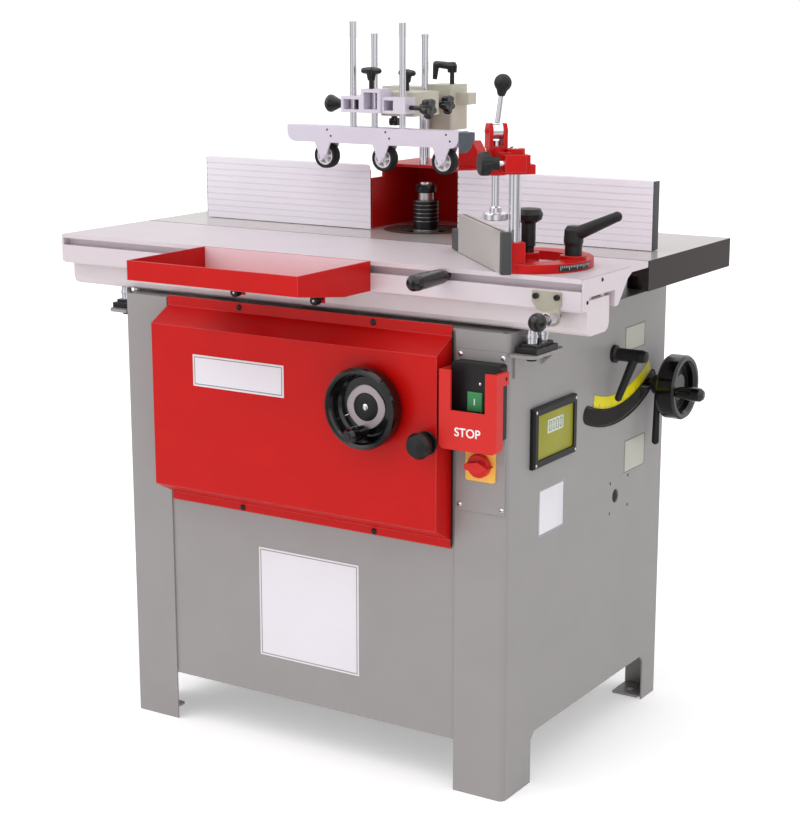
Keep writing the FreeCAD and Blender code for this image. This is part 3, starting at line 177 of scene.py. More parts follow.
@dataclass(frozen=True)
class Finish:
    """Surface finish made from nodes: colour that wanders, grain, roughness and softened edges."""

    name: str
    colour: Colour
    rough: float
    metal: float = 0.0
    coat: float = 0.0
    wander: float = 0.05
    patch: float = 12.0
    grain: float = 0.10
    cell: float = 0.0012
    lay: Lay = Lay.EVEN
    edge: float = 0.0007
    # How much paler the edges are: wear, and a painted highlight along them.
    edge_wear_and_highlight: float = 0.06
    shine: float = 0.5
    glow: float = 0.0

    def material(self) -> bpy.types.Material:
        """Build the material, or find it if it is there."""
        found = bpy.data.materials.get(self.label())
        return found if found else self.build()

    def label(self) -> str:
        """Name of the material, apart from the names of the record's slots."""
        return f"look_{self.name}"

    def build(self) -> bpy.types.Material:
        """Make the node tree.

        Returns:
            The new material.
        """
        material = bpy.data.materials.new(self.label())
        graph = Graph(material)
        shader = graph.add("BsdfPrincipled", Metallic=self.metal, Specular_IOR_Level=self.shine,
                           Coat_Weight=self.coat, Coat_Roughness=COAT_ROUGH,
                           Emission_Color=WHITE, Emission_Strength=self.glow)
        place = graph.add("TexCoord")
        stretch = graph.add("Mapping", Scale=self.lay.value)
        graph.join(place, "Object", stretch, "Vector")
        fine = graph.add("TexNoise", Scale=1 / self.cell, Detail=3.0, Roughness=0.6)
        graph.join(stretch, "Vector", fine, "Vector")
        broad = graph.add("TexNoise", Scale=self.patch, Detail=4.0, Roughness=0.55)
        graph.join(place, "Object", broad, "Vector")
        soft = graph.add("Bevel", samples=4, Radius=self.edge)
        self.paint(graph, shader, broad, fine, soft)
        gloss = graph.add("MapRange", To_Min=max(self.rough - 0.07, 0.02), To_Max=self.rough + 0.09)
        graph.join(fine, "Fac", gloss, "Value")
        graph.join(gloss, "Result", shader, "Roughness")
        bump = graph.add("Bump", Strength=self.grain, Distance=GRAIN_DEPTH)
        graph.join(fine, "Fac", bump, "Height")
        graph.join(soft, "Normal", bump, "Normal")
        graph.join(bump, "Normal", shader, "Normal")
        out = graph.add("OutputMaterial")
        graph.join(shader, "BSDF", out, "Surface")
        return material

    def paint(self, graph: Graph, shader: bpy.types.ShaderNode, broad: bpy.types.ShaderNode,
              fine: bpy.types.ShaderNode, soft: bpy.types.ShaderNode) -> None:
        """Colour the shader: two near tones by patch, and paler edges, part wear and part painted highlight.

        Args:
            graph: Node tree to add to.
            shader: Shader that takes the colour.
            broad: Noise in large patches.
            fine: Noise at the grain's size; not used.
            soft: Node that gives the normal with softened edges.
        """
        tones = self.tones(graph, broad, (0.3, 0.7))
        flat = graph.add("NewGeometry")
        turn = graph.add("VectorMath", operation="DOT_PRODUCT")
        graph.join(soft, "Normal", turn, 0)
        graph.join(flat, "Normal", turn, 1)
        # Paler edges where the softened normal turns away: wear and a painted highlight.
        wear_and_highlight_mask = graph.add("MapRange", From_Min=0.995, From_Max=0.90, To_Min=0.0, To_Max=self.edge_wear_and_highlight)
        graph.join(turn, "Value", wear_and_highlight_mask, "Value")
        wear_and_highlight_mix = graph.add("Mix", data_type="RGBA", blend_type="ADD")
        graph.join(wear_and_highlight_mask, "Result", wear_and_highlight_mix, "Factor")
        graph.join(tones, "Color", wear_and_highlight_mix, 6)
        wear_and_highlight_mix.inputs[7].default_value = (0.5, 0.5, 0.5, 1)
        graph.join(wear_and_highlight_mix, 2, shader, "Base Color")

    def tones(self, graph: Graph, noise: bpy.types.ShaderNode, ends: Pair) -> bpy.types.ShaderNode:
        """Ramp between two near tones of the colour.

        Args:
            graph: Node tree to add to.
            noise: Noise that picks the tone.
            ends: Where along the noise the ramp starts and ends.

        Returns:
            The ramp's node.
        """
        ramp = graph.add("ValToRGB")
        low, high = ramp.color_ramp.elements
        low.position, high.position = ends
        low.color = (*[part * (1 - self.wander) for part in self.colour], 1)
        high.color = (*[min(part * (1 + self.wander), 1) for part in self.colour], 1)
        graph.join(noise, "Fac", ramp, "Fac")
        return ramp


@dataclass(frozen=True)
class GroundIron(Finish):
    """Iron casting with its top ground bright and its other faces painted."""

    side: Colour = (0.05, 0.05, 0.055)

    def paint(self, graph: Graph, shader: bpy.types.ShaderNode, broad: bpy.types.ShaderNode,
              fine: bpy.types.ShaderNode, soft: bpy.types.ShaderNode) -> None:
        """Colour the top by its grinding marks and the rest as painted casting.

        Args:
            graph: Node tree to add to.
            shader: Shader that takes the colour.
            broad: Noise in large patches; not used.
            fine: Noise at the grain's size.
            soft: Node that gives the normal with softened edges; not used.
        """
        tones = self.tones(graph, fine, (0.25, 0.75))
        flat = graph.add("NewGeometry")
        parts = graph.add("SeparateXYZ")
        graph.join(flat, "Normal", parts, "Vector")
        upward = graph.add("MapRange", From_Min=0.85, From_Max=0.95)
        graph.join(parts, "Z", upward, "Value")
        both = graph.add("Mix", data_type="RGBA")
        graph.join(upward, "Result", both, "Factor")
        both.inputs[6].default_value = (*self.side, 1)
        graph.join(tones, "Color", both, 7)
        graph.join(both, 2, shader, "Base Color")
        bare = graph.add("MapRange", From_Min=0.85, From_Max=0.95, To_Max=self.metal)
        graph.join(parts, "Z", bare, "Value")
        graph.join(bare, "Result", shader, "Metallic")


# Grey and red paint get strongly paler edges: a painted highlight along folds and sheet edges as well as
# wear.
GREY_PAINT = Finish("grey_cabinet_paint", tone(152, 148, 148), 0.40, coat=0.06, wander=0.025, grain=0.12,
                    edge=0.0014, edge_wear_and_highlight=0.12, shine=0.35)
RED_PAINT = Finish("red_gloss_paint", tone(194, 9, 5), 0.36, coat=0.06, wander=0.04, cell=0.0016,
                   edge=0.0016, edge_wear_and_highlight=0.22, shine=0.18)
BEIGE_PAINT = Finish("beige_cast_paint", tone(198, 194, 178), 0.45, coat=0.1, grain=0.35, cell=0.001)
GREY_CAST = Finish("grey_cast_paint", tone(92, 96, 98), 0.5, wander=0.12, grain=0.5, cell=0.0014)
MOTOR_PAINT = Finish("motor_paint", tone(70, 78, 86), 0.42, coat=0.2, wander=0.08, grain=0.25)
GROUND_IRON = GroundIron("ground_iron", tone(202, 196, 194), 0.19, metal=0.38, wander=0.06, grain=0.08,
                         cell=0.0006, lay=Lay.LENGTH, side=tone(46, 39, 37), shine=0.12)
BARE_STEEL = Finish("machined_steel", tone(196, 194, 192), 0.30, metal=0.85, wander=0.08, grain=0.12,
                    cell=0.0007)
BRIGHT_STEEL = Finish("bright_steel", tone(226, 224, 230), 0.10, metal=0.95, wander=0.04, grain=0.04,
                      cell=0.0008, lay=Lay.UPRIGHT)
DARK_STEEL = Finish("blackened_steel", tone(34, 33, 36), 0.30, metal=0.5, wander=0.15, grain=0.12, edge_wear_and_highlight=0.25)
INSERT_STEEL = Finish("insert_steel", tone(112, 102, 98), 0.34, metal=0.6, wander=0.10, grain=0.12,
                      cell=0.0007)
LATCH_STEEL = Finish("latch_steel", tone(176, 170, 154), 0.34, metal=0.45, wander=0.08, grain=0.12,
                     cell=0.0007)
DECK_ALLOY = Finish("satin_deck_alloy", tone(216, 205, 211), 0.36, metal=0.15, wander=0.02,
                    cell=0.0007, lay=Lay.LENGTH, shine=0.4)
RAIL_ALLOY = Finish("satin_rail_alloy", tone(218, 208, 211), 0.40, metal=0.15, wander=0.03,
                    cell=0.0007, lay=Lay.LENGTH, shine=0.4)
MITRE_ALLOY = Finish("grey_mitre_alloy", tone(189, 186, 181), 0.38, metal=0.25, wander=0.03,
                     cell=0.0007, lay=Lay.LENGTH, shine=0.4)
# Near white with a pink cast: a painted reflection of the light that the tray's glossy inside throws back.
TRAY_PAINTED_SHEEN = Finish("tray_painted_sheen", tone(250, 238, 245), 0.36, wander=0.02, grain=0.08,
                    cell=0.0007, lay=Lay.LENGTH, shine=0.4)
FENCE_ALLOY = Finish("pale_fence_alloy", tone(244, 238, 247), 0.38, metal=0.05, wander=0.015, grain=0.08,
                     cell=0.0007, lay=Lay.LENGTH)
BAR_ALLOY = Finish("painted_bar_alloy", tone(221, 214, 228), 0.34, metal=0.1, coat=0.06, wander=0.02,
                   grain=0.08)
BLACK_PLASTIC = Finish("black_plastic", tone(24, 23, 25), 0.42, wander=0.20, grain=0.35, cell=0.0007,
                       shine=0.35)
BLACK_GLOSS = Finish("black_gloss_plastic", tone(13, 12, 13), 0.16, coat=0.3, wander=0.20, grain=0.05,
                     shine=0.35)
GREY_RUBBER = Finish("grey_rubber", tone(80, 88, 98), 0.6, wander=0.10, grain=0.4)
CAP_PLASTIC = Finish("cap_plastic", tone(62, 61, 63), 0.48, wander=0.10, grain=0.3)
BLACK_RUBBER = Finish("black_rubber", tone(26, 26, 28), 0.62, wander=0.18, grain=0.5, cell=0.0006, shine=0.3)
RED_PLASTIC = Finish("red_plastic", tone(210, 46, 42), 0.34, coat=0.03, wander=0.03, grain=0.14, shine=0.16)
YELLOW_PLASTIC = Finish("yellow_plastic", tone(246, 192, 84), 0.35, wander=0.04, grain=0.16, shine=0.35)
GREEN_PLASTIC = Finish("green_plastic", tone(62, 150, 90), 0.30, grain=0.12, shine=0.35)
WHITE_PLASTIC = Finish("white_plastic", tone(232, 230, 234), 0.40, wander=0.03, grain=0.15)
WHITE_PLATE = Finish("white_plate", tone(227, 224, 231), 0.34, coat=0.1, wander=0.015, grain=0.05)
GREY_PLATE = Finish("grey_plate", tone(186, 186, 174), 0.38, metal=0.1, wander=0.04)
SCALE_YELLOW = Finish("scale_yellow", tone(228, 214, 22), 0.36, wander=0.04, grain=0.06, shine=0.3)
DISPLAY_GREEN = Finish("display_green", tone(152, 150, 26), 0.34, coat=0.06, grain=0.05, shine=0.3)
GLASS_GREY = Finish("display_window", tone(196, 204, 188), 0.12, coat=0.6, wander=0.03, grain=0.02)
DIAL_ALLOY = Finish("dial_alloy", tone(178, 166, 170), 0.42, metal=0.2, wander=0.03)
MARK_BLACK = Finish("mark_black", tone(20, 20, 20), 0.45, wander=0.10, grain=0.05)
MARK_WHITE = Finish("mark_white", tone(244, 243, 244), 0.40, wander=0.02, grain=0.04)
FLOOR_PAINT = Finish("floor_paint", tone(248, 248, 248), 0.8, wander=0.002, grain=0.0, glow=0.34)


class Form:
    """Mesh in the making, drawn in millimetres in the row frame."""

    def __init__(self) -> None:
        """Start an empty mesh."""
        self.mesh = bmesh.new()

    def block(self, low: Spot, high: Spot, soft: float = 0.0) -> "Form":
        """Add a block between two corners.

        Args:
            low: Lowest corner.
            high: Highest corner.
            soft: Rounding of its edges.

        Returns:
            The form itself.
        """
        near, far = Vector(low), Vector(high)
        corners = bmesh.ops.create_cube(self.mesh, size=1.0)["verts"]
        bmesh.ops.scale(self.mesh, vec=far - near, verts=corners)
        bmesh.ops.translate(self.mesh, vec=(near + far) / 2, verts=corners)
        if soft:
            edges = list({edge for corner in corners for edge in corner.link_edges})
            bmesh.ops.bevel(self.mesh, geom=edges, offset=soft, segments=3, profile=0.5, affect="EDGES")
        return self

    def lathe(self, profile: list[Pair], origin: Spot, axis: Spot, steps: int = 48,
              lobes: int = 0, dip: float = 0.0, inner: float = 0.0) -> "Form":
        """Spin a profile about an axis, with lobes where they are asked for.

        Args:
            profile: Pairs of radius and height along the axis.
            origin: Point on the axis at height 0.
            axis: Direction of the axis.
            steps: Number of sides.
            lobes: Number of lobes round the rim.
            dip: Share of the radius taken away between two lobes.
            inner: Radius up to which the form stays round.

        Returns:
            The form itself.
        """
        turn = Vector(UP).rotation_difference(Vector(axis).normalized()).to_matrix()
        rings = []
        for radius, height in profile:
            ring = []
            for step in range(steps if radius > 0.001 else 1):
                angle = math.tau * step / steps
                cut = dip * (0.5 - 0.5 * math.cos(lobes * angle)) if radius > inner else 0.0
                reach = radius * (1 - cut)
                spot = Vector((reach * math.cos(angle), reach * math.sin(angle), height))
                ring.append(self.mesh.verts.new(turn @ spot + Vector(origin)))
            rings.append(ring)
        for one, two in zip(rings, rings[1:]):
            for step in range(steps):
                after = (step + 1) % steps
                loop = [one[step % len(one)], one[after % len(one)]]
                loop += [two[after % len(two)], two[step % len(two)]]
                corners = list(dict.fromkeys(loop))
                if len(corners) > 2:
                    self.mesh.faces.new(corners)
        return self

    def prism(self, outline: list[Spot], step: Spot) -> "Form":
        """Sweep a flat outline along a step.

        Args:
            outline: Corner points in order.
            step: How far and which way it is swept.

        Returns:
            The form itself.
        """
        near = [self.mesh.verts.new(Vector(spot)) for spot in outline]
        far = [self.mesh.verts.new(Vector(spot) + Vector(step)) for spot in outline]
        self.mesh.faces.new(near[::-1])
        self.mesh.faces.new(far)
        count = len(outline)
        for index in range(count):
            after = (index + 1) % count
            self.mesh.faces.new([near[index], near[after], far[after], far[index]])
        return self

    def band(self, outer: list[Spot], inner: list[Spot], step: Spot) -> "Form":
        """Sweep the closed strip between two outlines of equal count along a step.

        Args:
            outer: Points of the outer outline.
            inner: Points of the inner outline, paired with the outer ones.
            step: How far and which way it is swept.

        Returns:
            The form itself.
        """
        rims = []
        for line, shift in ((outer, 0.0), (outer, 1.0), (inner, 1.0), (inner, 0.0)):
            rims.append([self.mesh.verts.new(Vector(spot) + Vector(step) * shift) for spot in line])
        count = len(outer)
        for rim, following in zip(rims, rims[1:] + rims[:1]):
            for index in range(count):
                after = (index + 1) % count
                self.mesh.faces.new([rim[index], rim[after], following[after], following[index]])
        return self

    def place(self, angle: float, origin: Vector) -> "Form":
        """Turn the form about the upright axis and move it to a point.

        Args:
            angle: Turn in degrees.
            origin: Where the form's own origin goes.

        Returns:
            The form itself.
        """
        matrix = Matrix.Translation(origin) @ Matrix.Rotation(math.radians(angle), 4, "Z")
        bmesh.ops.transform(self.mesh, matrix=matrix, verts=self.mesh.verts)
        return self

    def piece(self, name: str, finish: Finish, body: Body, slot: Slot) -> bpy.types.Object:
        """Turn the form into a piece of the scene.

        Args:
            name: Name of the piece.
            finish: Finish that it wears.
            body: Body that it rides on.
            slot: Material slot of the record; not used.

        Returns:
            The new object.
        """
        bmesh.ops.remove_doubles(self.mesh, verts=self.mesh.verts, dist=WELD)
        bmesh.ops.recalc_face_normals(self.mesh, faces=self.mesh.faces)
        bmesh.ops.scale(self.mesh, vec=(MM, MM, MM), verts=self.mesh.verts)
        data = bpy.data.meshes.new(name)
        self.mesh.to_mesh(data)
        self.mesh.free()
        return settle(bpy.data.objects.new(name, data), finish, body)


def settle(made: bpy.types.Object, finish: Finish, body: Body) -> bpy.types.Object:
    """Link a new object, give it its finish and let it ride.

    Args:
        made: Mesh object in place.
        finish: Finish that it wears.
        body: Body that it rides on.

    Returns:
        The same object.
    """
    bpy.context.scene.collection.objects.link(made)
    made.data.shade_smooth()
    made.data.set_sharp_from_angle(angle=SHARP_ANGLE)
    made.data.materials.append(finish.material())
    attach(made, body.value)
    LOG.info("piece %s rides on %s", made.name, body.value)
    return made


def word(text: str, size: float, matrix: Matrix, name: str,
         finish: Finish, body: Body) -> bpy.types.Object:
    """Thin raised lettering as a mesh.

    Args:
        text: Letters to write.
        size: Letter size in millimetres.
        matrix: Place and turn in metres.
        name: Name of the piece.
        finish: Finish that it wears.
        body: Body that it rides on.

    Returns:
        The new object.
    """
    curve = bpy.data.curves.new(name + "_line", "FONT")
    curve.body = text
    curve.size = size * MM
    curve.align_x = "CENTER"
    curve.align_y = "CENTER"
    curve.extrude = LETTER_DEPTH
    curve.offset = LETTER_WEIGHT
    holder = bpy.data.objects.new(name + "_line", curve)
    bpy.context.scene.collection.objects.link(holder)
    bpy.context.view_layer.update()
    data = bpy.data.meshes.new_from_object(holder)
    bpy.data.objects.remove(holder)
    data.transform(matrix)
    return settle(bpy.data.objects.new(name, data), finish, body)


def dress(finish: Finish, *nodes: str) -> None:
    """Give CAD nodes a finish.

    Args:
        finish: Finish that they wear.
        nodes: Names of the nodes.
    """
    for node in nodes:
        data = frame["nodes"][node].data
        data.materials.clear()
        data.materials.append(finish.material())
        LOG.info("node %s wears %s", node, finish.name)


def reach(node: str) -> tuple[Vector, Vector]:
    """Lowest and highest corner of a node, in millimetres."""
    low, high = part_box(node)
    return low / MM, high / MM


def pivot(joint: str) -> Vector:
    """Point of a hinge at rest, in millimetres."""
    found = next(one for one in frame["joints"] if one["name"] == joint)
    return Vector(found["pos_m"]) / MM


def evenly(ends: Pair, parts: int) -> list[float]:
    """Values spaced evenly from one end to the other.

    Args:
        ends: First and last value.
        parts: Number of steps between them.

    Returns:
        The values, with both ends among them.
    """
    start, end = ends
    return [start + (end - start) * step / parts for step in range(parts + 1)]


def plate_corners(plate: Span, inset: float) -> list[Pair]:
    """Corners of an upright plate, drawn in on all sides.

    Args:
        plate: Its span across and its span upwards.
        inset: How far the corners are drawn in.

    Returns:
        The four corners in order.
    """
    (left, right), (foot, head) = plate
    left, right, foot, head = left + inset, right - inset, foot + inset, head - inset
    return [(left, foot), (right, foot), (right, head), (left, head)]


def wedge(form: Form, centre: Spot, angle: float, outline: tuple[Pair, ...], deep: float) -> None:
    """Add a flat wedge that points away from a centre, in a plane seen from the front.

    Args:
        form: Form to add to.
        centre: Centre that it points away from.
        angle: Where it stands round the centre.
        outline: Pairs of distance from the centre and offset across.
        deep: How far it is swept along Y.
    """
    out = Vector((math.cos(angle), 0, math.sin(angle)))
    across = Vector((-math.sin(angle), 0, math.cos(angle)))
    spots = [tuple(Vector(centre) + out * away + across * wide) for away, wide in outline]
    form.prism(spots, (0, deep, 0))


@dataclass
class Cabinet:
    """Sheet cabinet with its cover, bare plates, tilt scale and the studs of the guide rail."""

    sheet_proud: float = 0.8
    line_insets: Pair = (3.0, 4.6)
    line_proud: float = 0.15
    cover_label: Span = ((-193.0, -9.0), (622.0, 675.0))
    front_badge: Span = ((-100.0, 101.0), (156.0, 347.0))
    side_label: Span = ((-185.0, -99.0), (413.0, 489.0))
    upper_plate: Span = ((119.0, 197.0), (662.0, 705.0))
    lower_plate: Span = ((127.0, 209.0), (448.0, 506.0))
    side_proud: float = 0.5
    side_insets: Pair = (0.8, 1.8)
    side_line_proud: float = 0.12
    slot_radius: float = 290.0
    slot_half: float = 13.0
    slot_angles: Pair = (-21.0, 30.0)
    slot_steps: int = 36
    lip_wide: float = 2.5
    lip_proud: float = 1.6
    scale_radii: Pair = (254.0, 276.0)
    scale_angles: Pair = (-18.0, 31.0)
    scale_steps: int = 40
    scale_thick: float = 0.8
    scale_start: float = 27.0
    scale_marks: int = 46
    hinge_heights: Pair = (487.0, 688.0)
    hinge_half: float = 21.0
    knuckles: int = 3
    knuckle_pitch: float = 14.2
    stud_out: float = 22.0
    stud_drop: float = 22.0
    stud_across: Pair = (-17.0, 17.0)

    def build(self) -> None:
        """Dress the nodes and add plates, scale, edging, hinges, sealing strip and sleeves."""
        dress(GREY_PAINT, "left_side_panel", "right_side_panel", "front_panel", "rear_panel", "top_frame")
        dress(GREY_PAINT, "switch_plate", "rail_brackets")
        dress(RED_PAINT, "front_cover")
        dress(DARK_STEEL, "fasteners")
        dress(GREY_CAST, "trunnion_brackets")
        dress(RAIL_ALLOY, "guide_rail")
        self.front_plates()
        self.side_plates()
        self.tilt_scale()
        self.slot_lip()
        self.cover_hinges()
        self.cover_gasket()
        self.stud_sleeves()

    def front_plates(self) -> None:
        """Bare plates on the cover and on the front sheet, each with a thin grey line inside its edge."""
        cover = reach("front_cover")[0].y
        panel = reach("front_panel")[0].y
        plates = (("cover_plate", self.cover_label, cover), ("front_badge", self.front_badge, panel))
        for name, plate, face in plates:
            (left, right), (foot, head) = plate
            front = face - self.sheet_proud
            form = Form().block((left, front, foot), (right, face, head), 0.3)
            form.piece(name, WHITE_PLATE, Body.CABINET, Slot.GREY)
            outer, inner = ([(x, front, z) for x, z in plate_corners(plate, inset)]
                            for inset in self.line_insets)
            line = Form().band(outer, inner, (0, -self.line_proud, 0))
            line.piece(name + "_line", GREY_PAINT, Body.CABINET, Slot.GREY)

    def side_plates(self) -> None:
        """Bare plates on the right side sheet, each with a thin dark line along its edge."""
        face = reach("right_side_panel")[1].x
        front = face + self.side_proud
        plates = (("side_label", self.side_label, WHITE_PLATE),
                  ("side_plate_upper", self.upper_plate, GREY_PLATE),
                  ("side_plate_lower", self.lower_plate, GREY_PLATE))
        for name, plate, finish in plates:
            (near, far), (foot, head) = plate
            form = Form().block((face, near, foot), (front, far, head), 0.2)
            form.piece(name, finish, Body.CABINET, Slot.GREY)
            outer, inner = ([(front, y, z) for y, z in plate_corners(plate, inset)]
                            for inset in self.side_insets)
            line = Form().band(outer, inner, (self.side_line_proud, 0, 0))
            line.piece(name + "_line", MARK_BLACK, Body.CABINET, Slot.GREY)

    def on_arc(self, radius: float, degrees: float, x: float) -> Spot:
        """Point on a circle about the tilt axis.

        Args:
            radius: Radius of the circle.
            degrees: Angle to the back, from straight down.
            x: Place along the axis.

        Returns:
            The point.
        """
        axis = pivot("tilt")
        angle = math.radians(degrees)
        return x, axis.y + radius * math.sin(angle), axis.z - radius * math.cos(angle)

    def tilt_scale(self) -> None:
        """Yellow arc plate over the tilt slot, with its degree marks."""
        face = reach("right_side_panel")[1].x
        front = face + self.scale_thick
        inner, outer = self.scale_radii
        turns = evenly(self.scale_angles, self.scale_steps)
        outline = [self.on_arc(outer, turn, face) for turn in turns]
        outline += [self.on_arc(inner, turn, face) for turn in reversed(turns)]
        plate = Form().prism(outline, (self.scale_thick, 0, 0))
        plate.piece("tilt_scale", SCALE_YELLOW, Body.CABINET, Slot.YELLOW)
        marks = Form()
        for mark in range(self.scale_marks):
            turn = self.scale_start - mark
            long = 9.0 if mark % 10 == 0 else 6.5 if mark % 5 == 0 else 4.0
            half = 0.10 if mark % 5 == 0 else 0.06
            top = outer - 1
            foot = top - long
            spots = ((top, turn - half), (top, turn + half), (foot, turn + half), (foot, turn - half))
            marks.prism([self.on_arc(radius, angle, front) for radius, angle in spots], (0.1, 0, 0))
        marks.piece("tilt_scale_marks", MARK_BLACK, Body.CABINET, Slot.BLACK)

    def slot_outline(self, half: float, x: float) -> list[Spot]:
        """Closed outline of the tilt slot.

        Args:
            half: Half width of the outline.
            x: Plane that it lies in.

        Returns:
            Its points in order.
        """
        start, end = self.slot_angles
        turns = evenly(self.slot_angles, self.slot_steps)
        points = [self.on_arc(self.slot_radius + half, turn, x) for turn in turns]
        for turn, side in ((end, 1), (start, -1)):
            middle = self.on_arc(self.slot_radius, turn, x)
            lean = math.radians(turn)
            for step in range(1, 12):
                away = side * math.cos(math.pi * step / 12)
                along = side * math.sin(math.pi * step / 12)
                y = middle[1] + half * (away * math.sin(lean) + along * math.cos(lean))
                z = middle[2] + half * (along * math.sin(lean) - away * math.cos(lean))
                points.append((x, y, z))
            if side > 0:
                points += [self.on_arc(self.slot_radius - half, one, x) for one in reversed(turns)]
        return points

    def slot_lip(self) -> None:
        """Black edging round the tilt slot."""
        face = reach("right_side_panel")[1].x
        outer = self.slot_outline(self.slot_half + self.lip_wide, face)
        form = Form().band(outer, self.slot_outline(self.slot_half, face), (self.lip_proud, 0, 0))
        form.piece("tilt_slot_lip", BLACK_RUBBER, Body.CABINET, Slot.RUBBER)

    def cover_hinges(self) -> None:
        """Two pin hinges at the left edge of the cover."""
        low = reach("front_cover")[0]
        face = reach("front_panel")[0].y - 3
        form = Form()
        for height in self.hinge_heights:
            foot, head = height - self.hinge_half, height + self.hinge_half
            for knuckle in range(self.knuckles):
                spot = (low.x - 4, face - 4, foot + self.knuckle_pitch * knuckle)
                form.lathe([(0, 0), (4, 0), (4, 13.6), (0, 13.6)], spot, UP, 20)
            form.block((low.x - 26, face - 1.2, foot), (low.x - 4, face, head), 0.4)
        form.piece("cover_hinges", DARK_STEEL, Body.CABINET, Slot.DARK_STEEL)

    def cover_gasket(self) -> None:
        """Dark sealing strip between the cover's right edge and the leg sheet."""
        low, high = reach("front_cover")
        face = reach("switch_plate")[1].y
        form = Form().block((high.x + 0.2, face - 1.2, low.z + 4), (high.x + 3.4, face, high.z - 8), 0.3)
        form.piece("cover_gasket", BLACK_RUBBER, Body.CABINET, Slot.RUBBER)

    def stud_sleeves(self) -> None:
        """Bright sleeves over the studs that carry the guide rail."""
        low, high = reach("guide_rail")
        side = reach("right_side_panel")[1].x + self.stud_out
        form = Form()
        shape = [(8.02, 0.3), (8.4, 0.3), (8.4, 9), (9.6, 9.4), (9.6, 14.6), (8.4, 15)]
        shape += [(8.4, 21.6), (8.02, 21.6), (8.02, 0.3)]
        for x in (-side, side):
            for across in self.stud_across:
                form.lathe(shape, (x, (low.y + high.y) / 2 + across, low.z - self.stud_drop), UP, 40)
        form.piece("rail_stud_sleeves", BRIGHT_STEEL, Body.CABINET, Slot.BRIGHT)


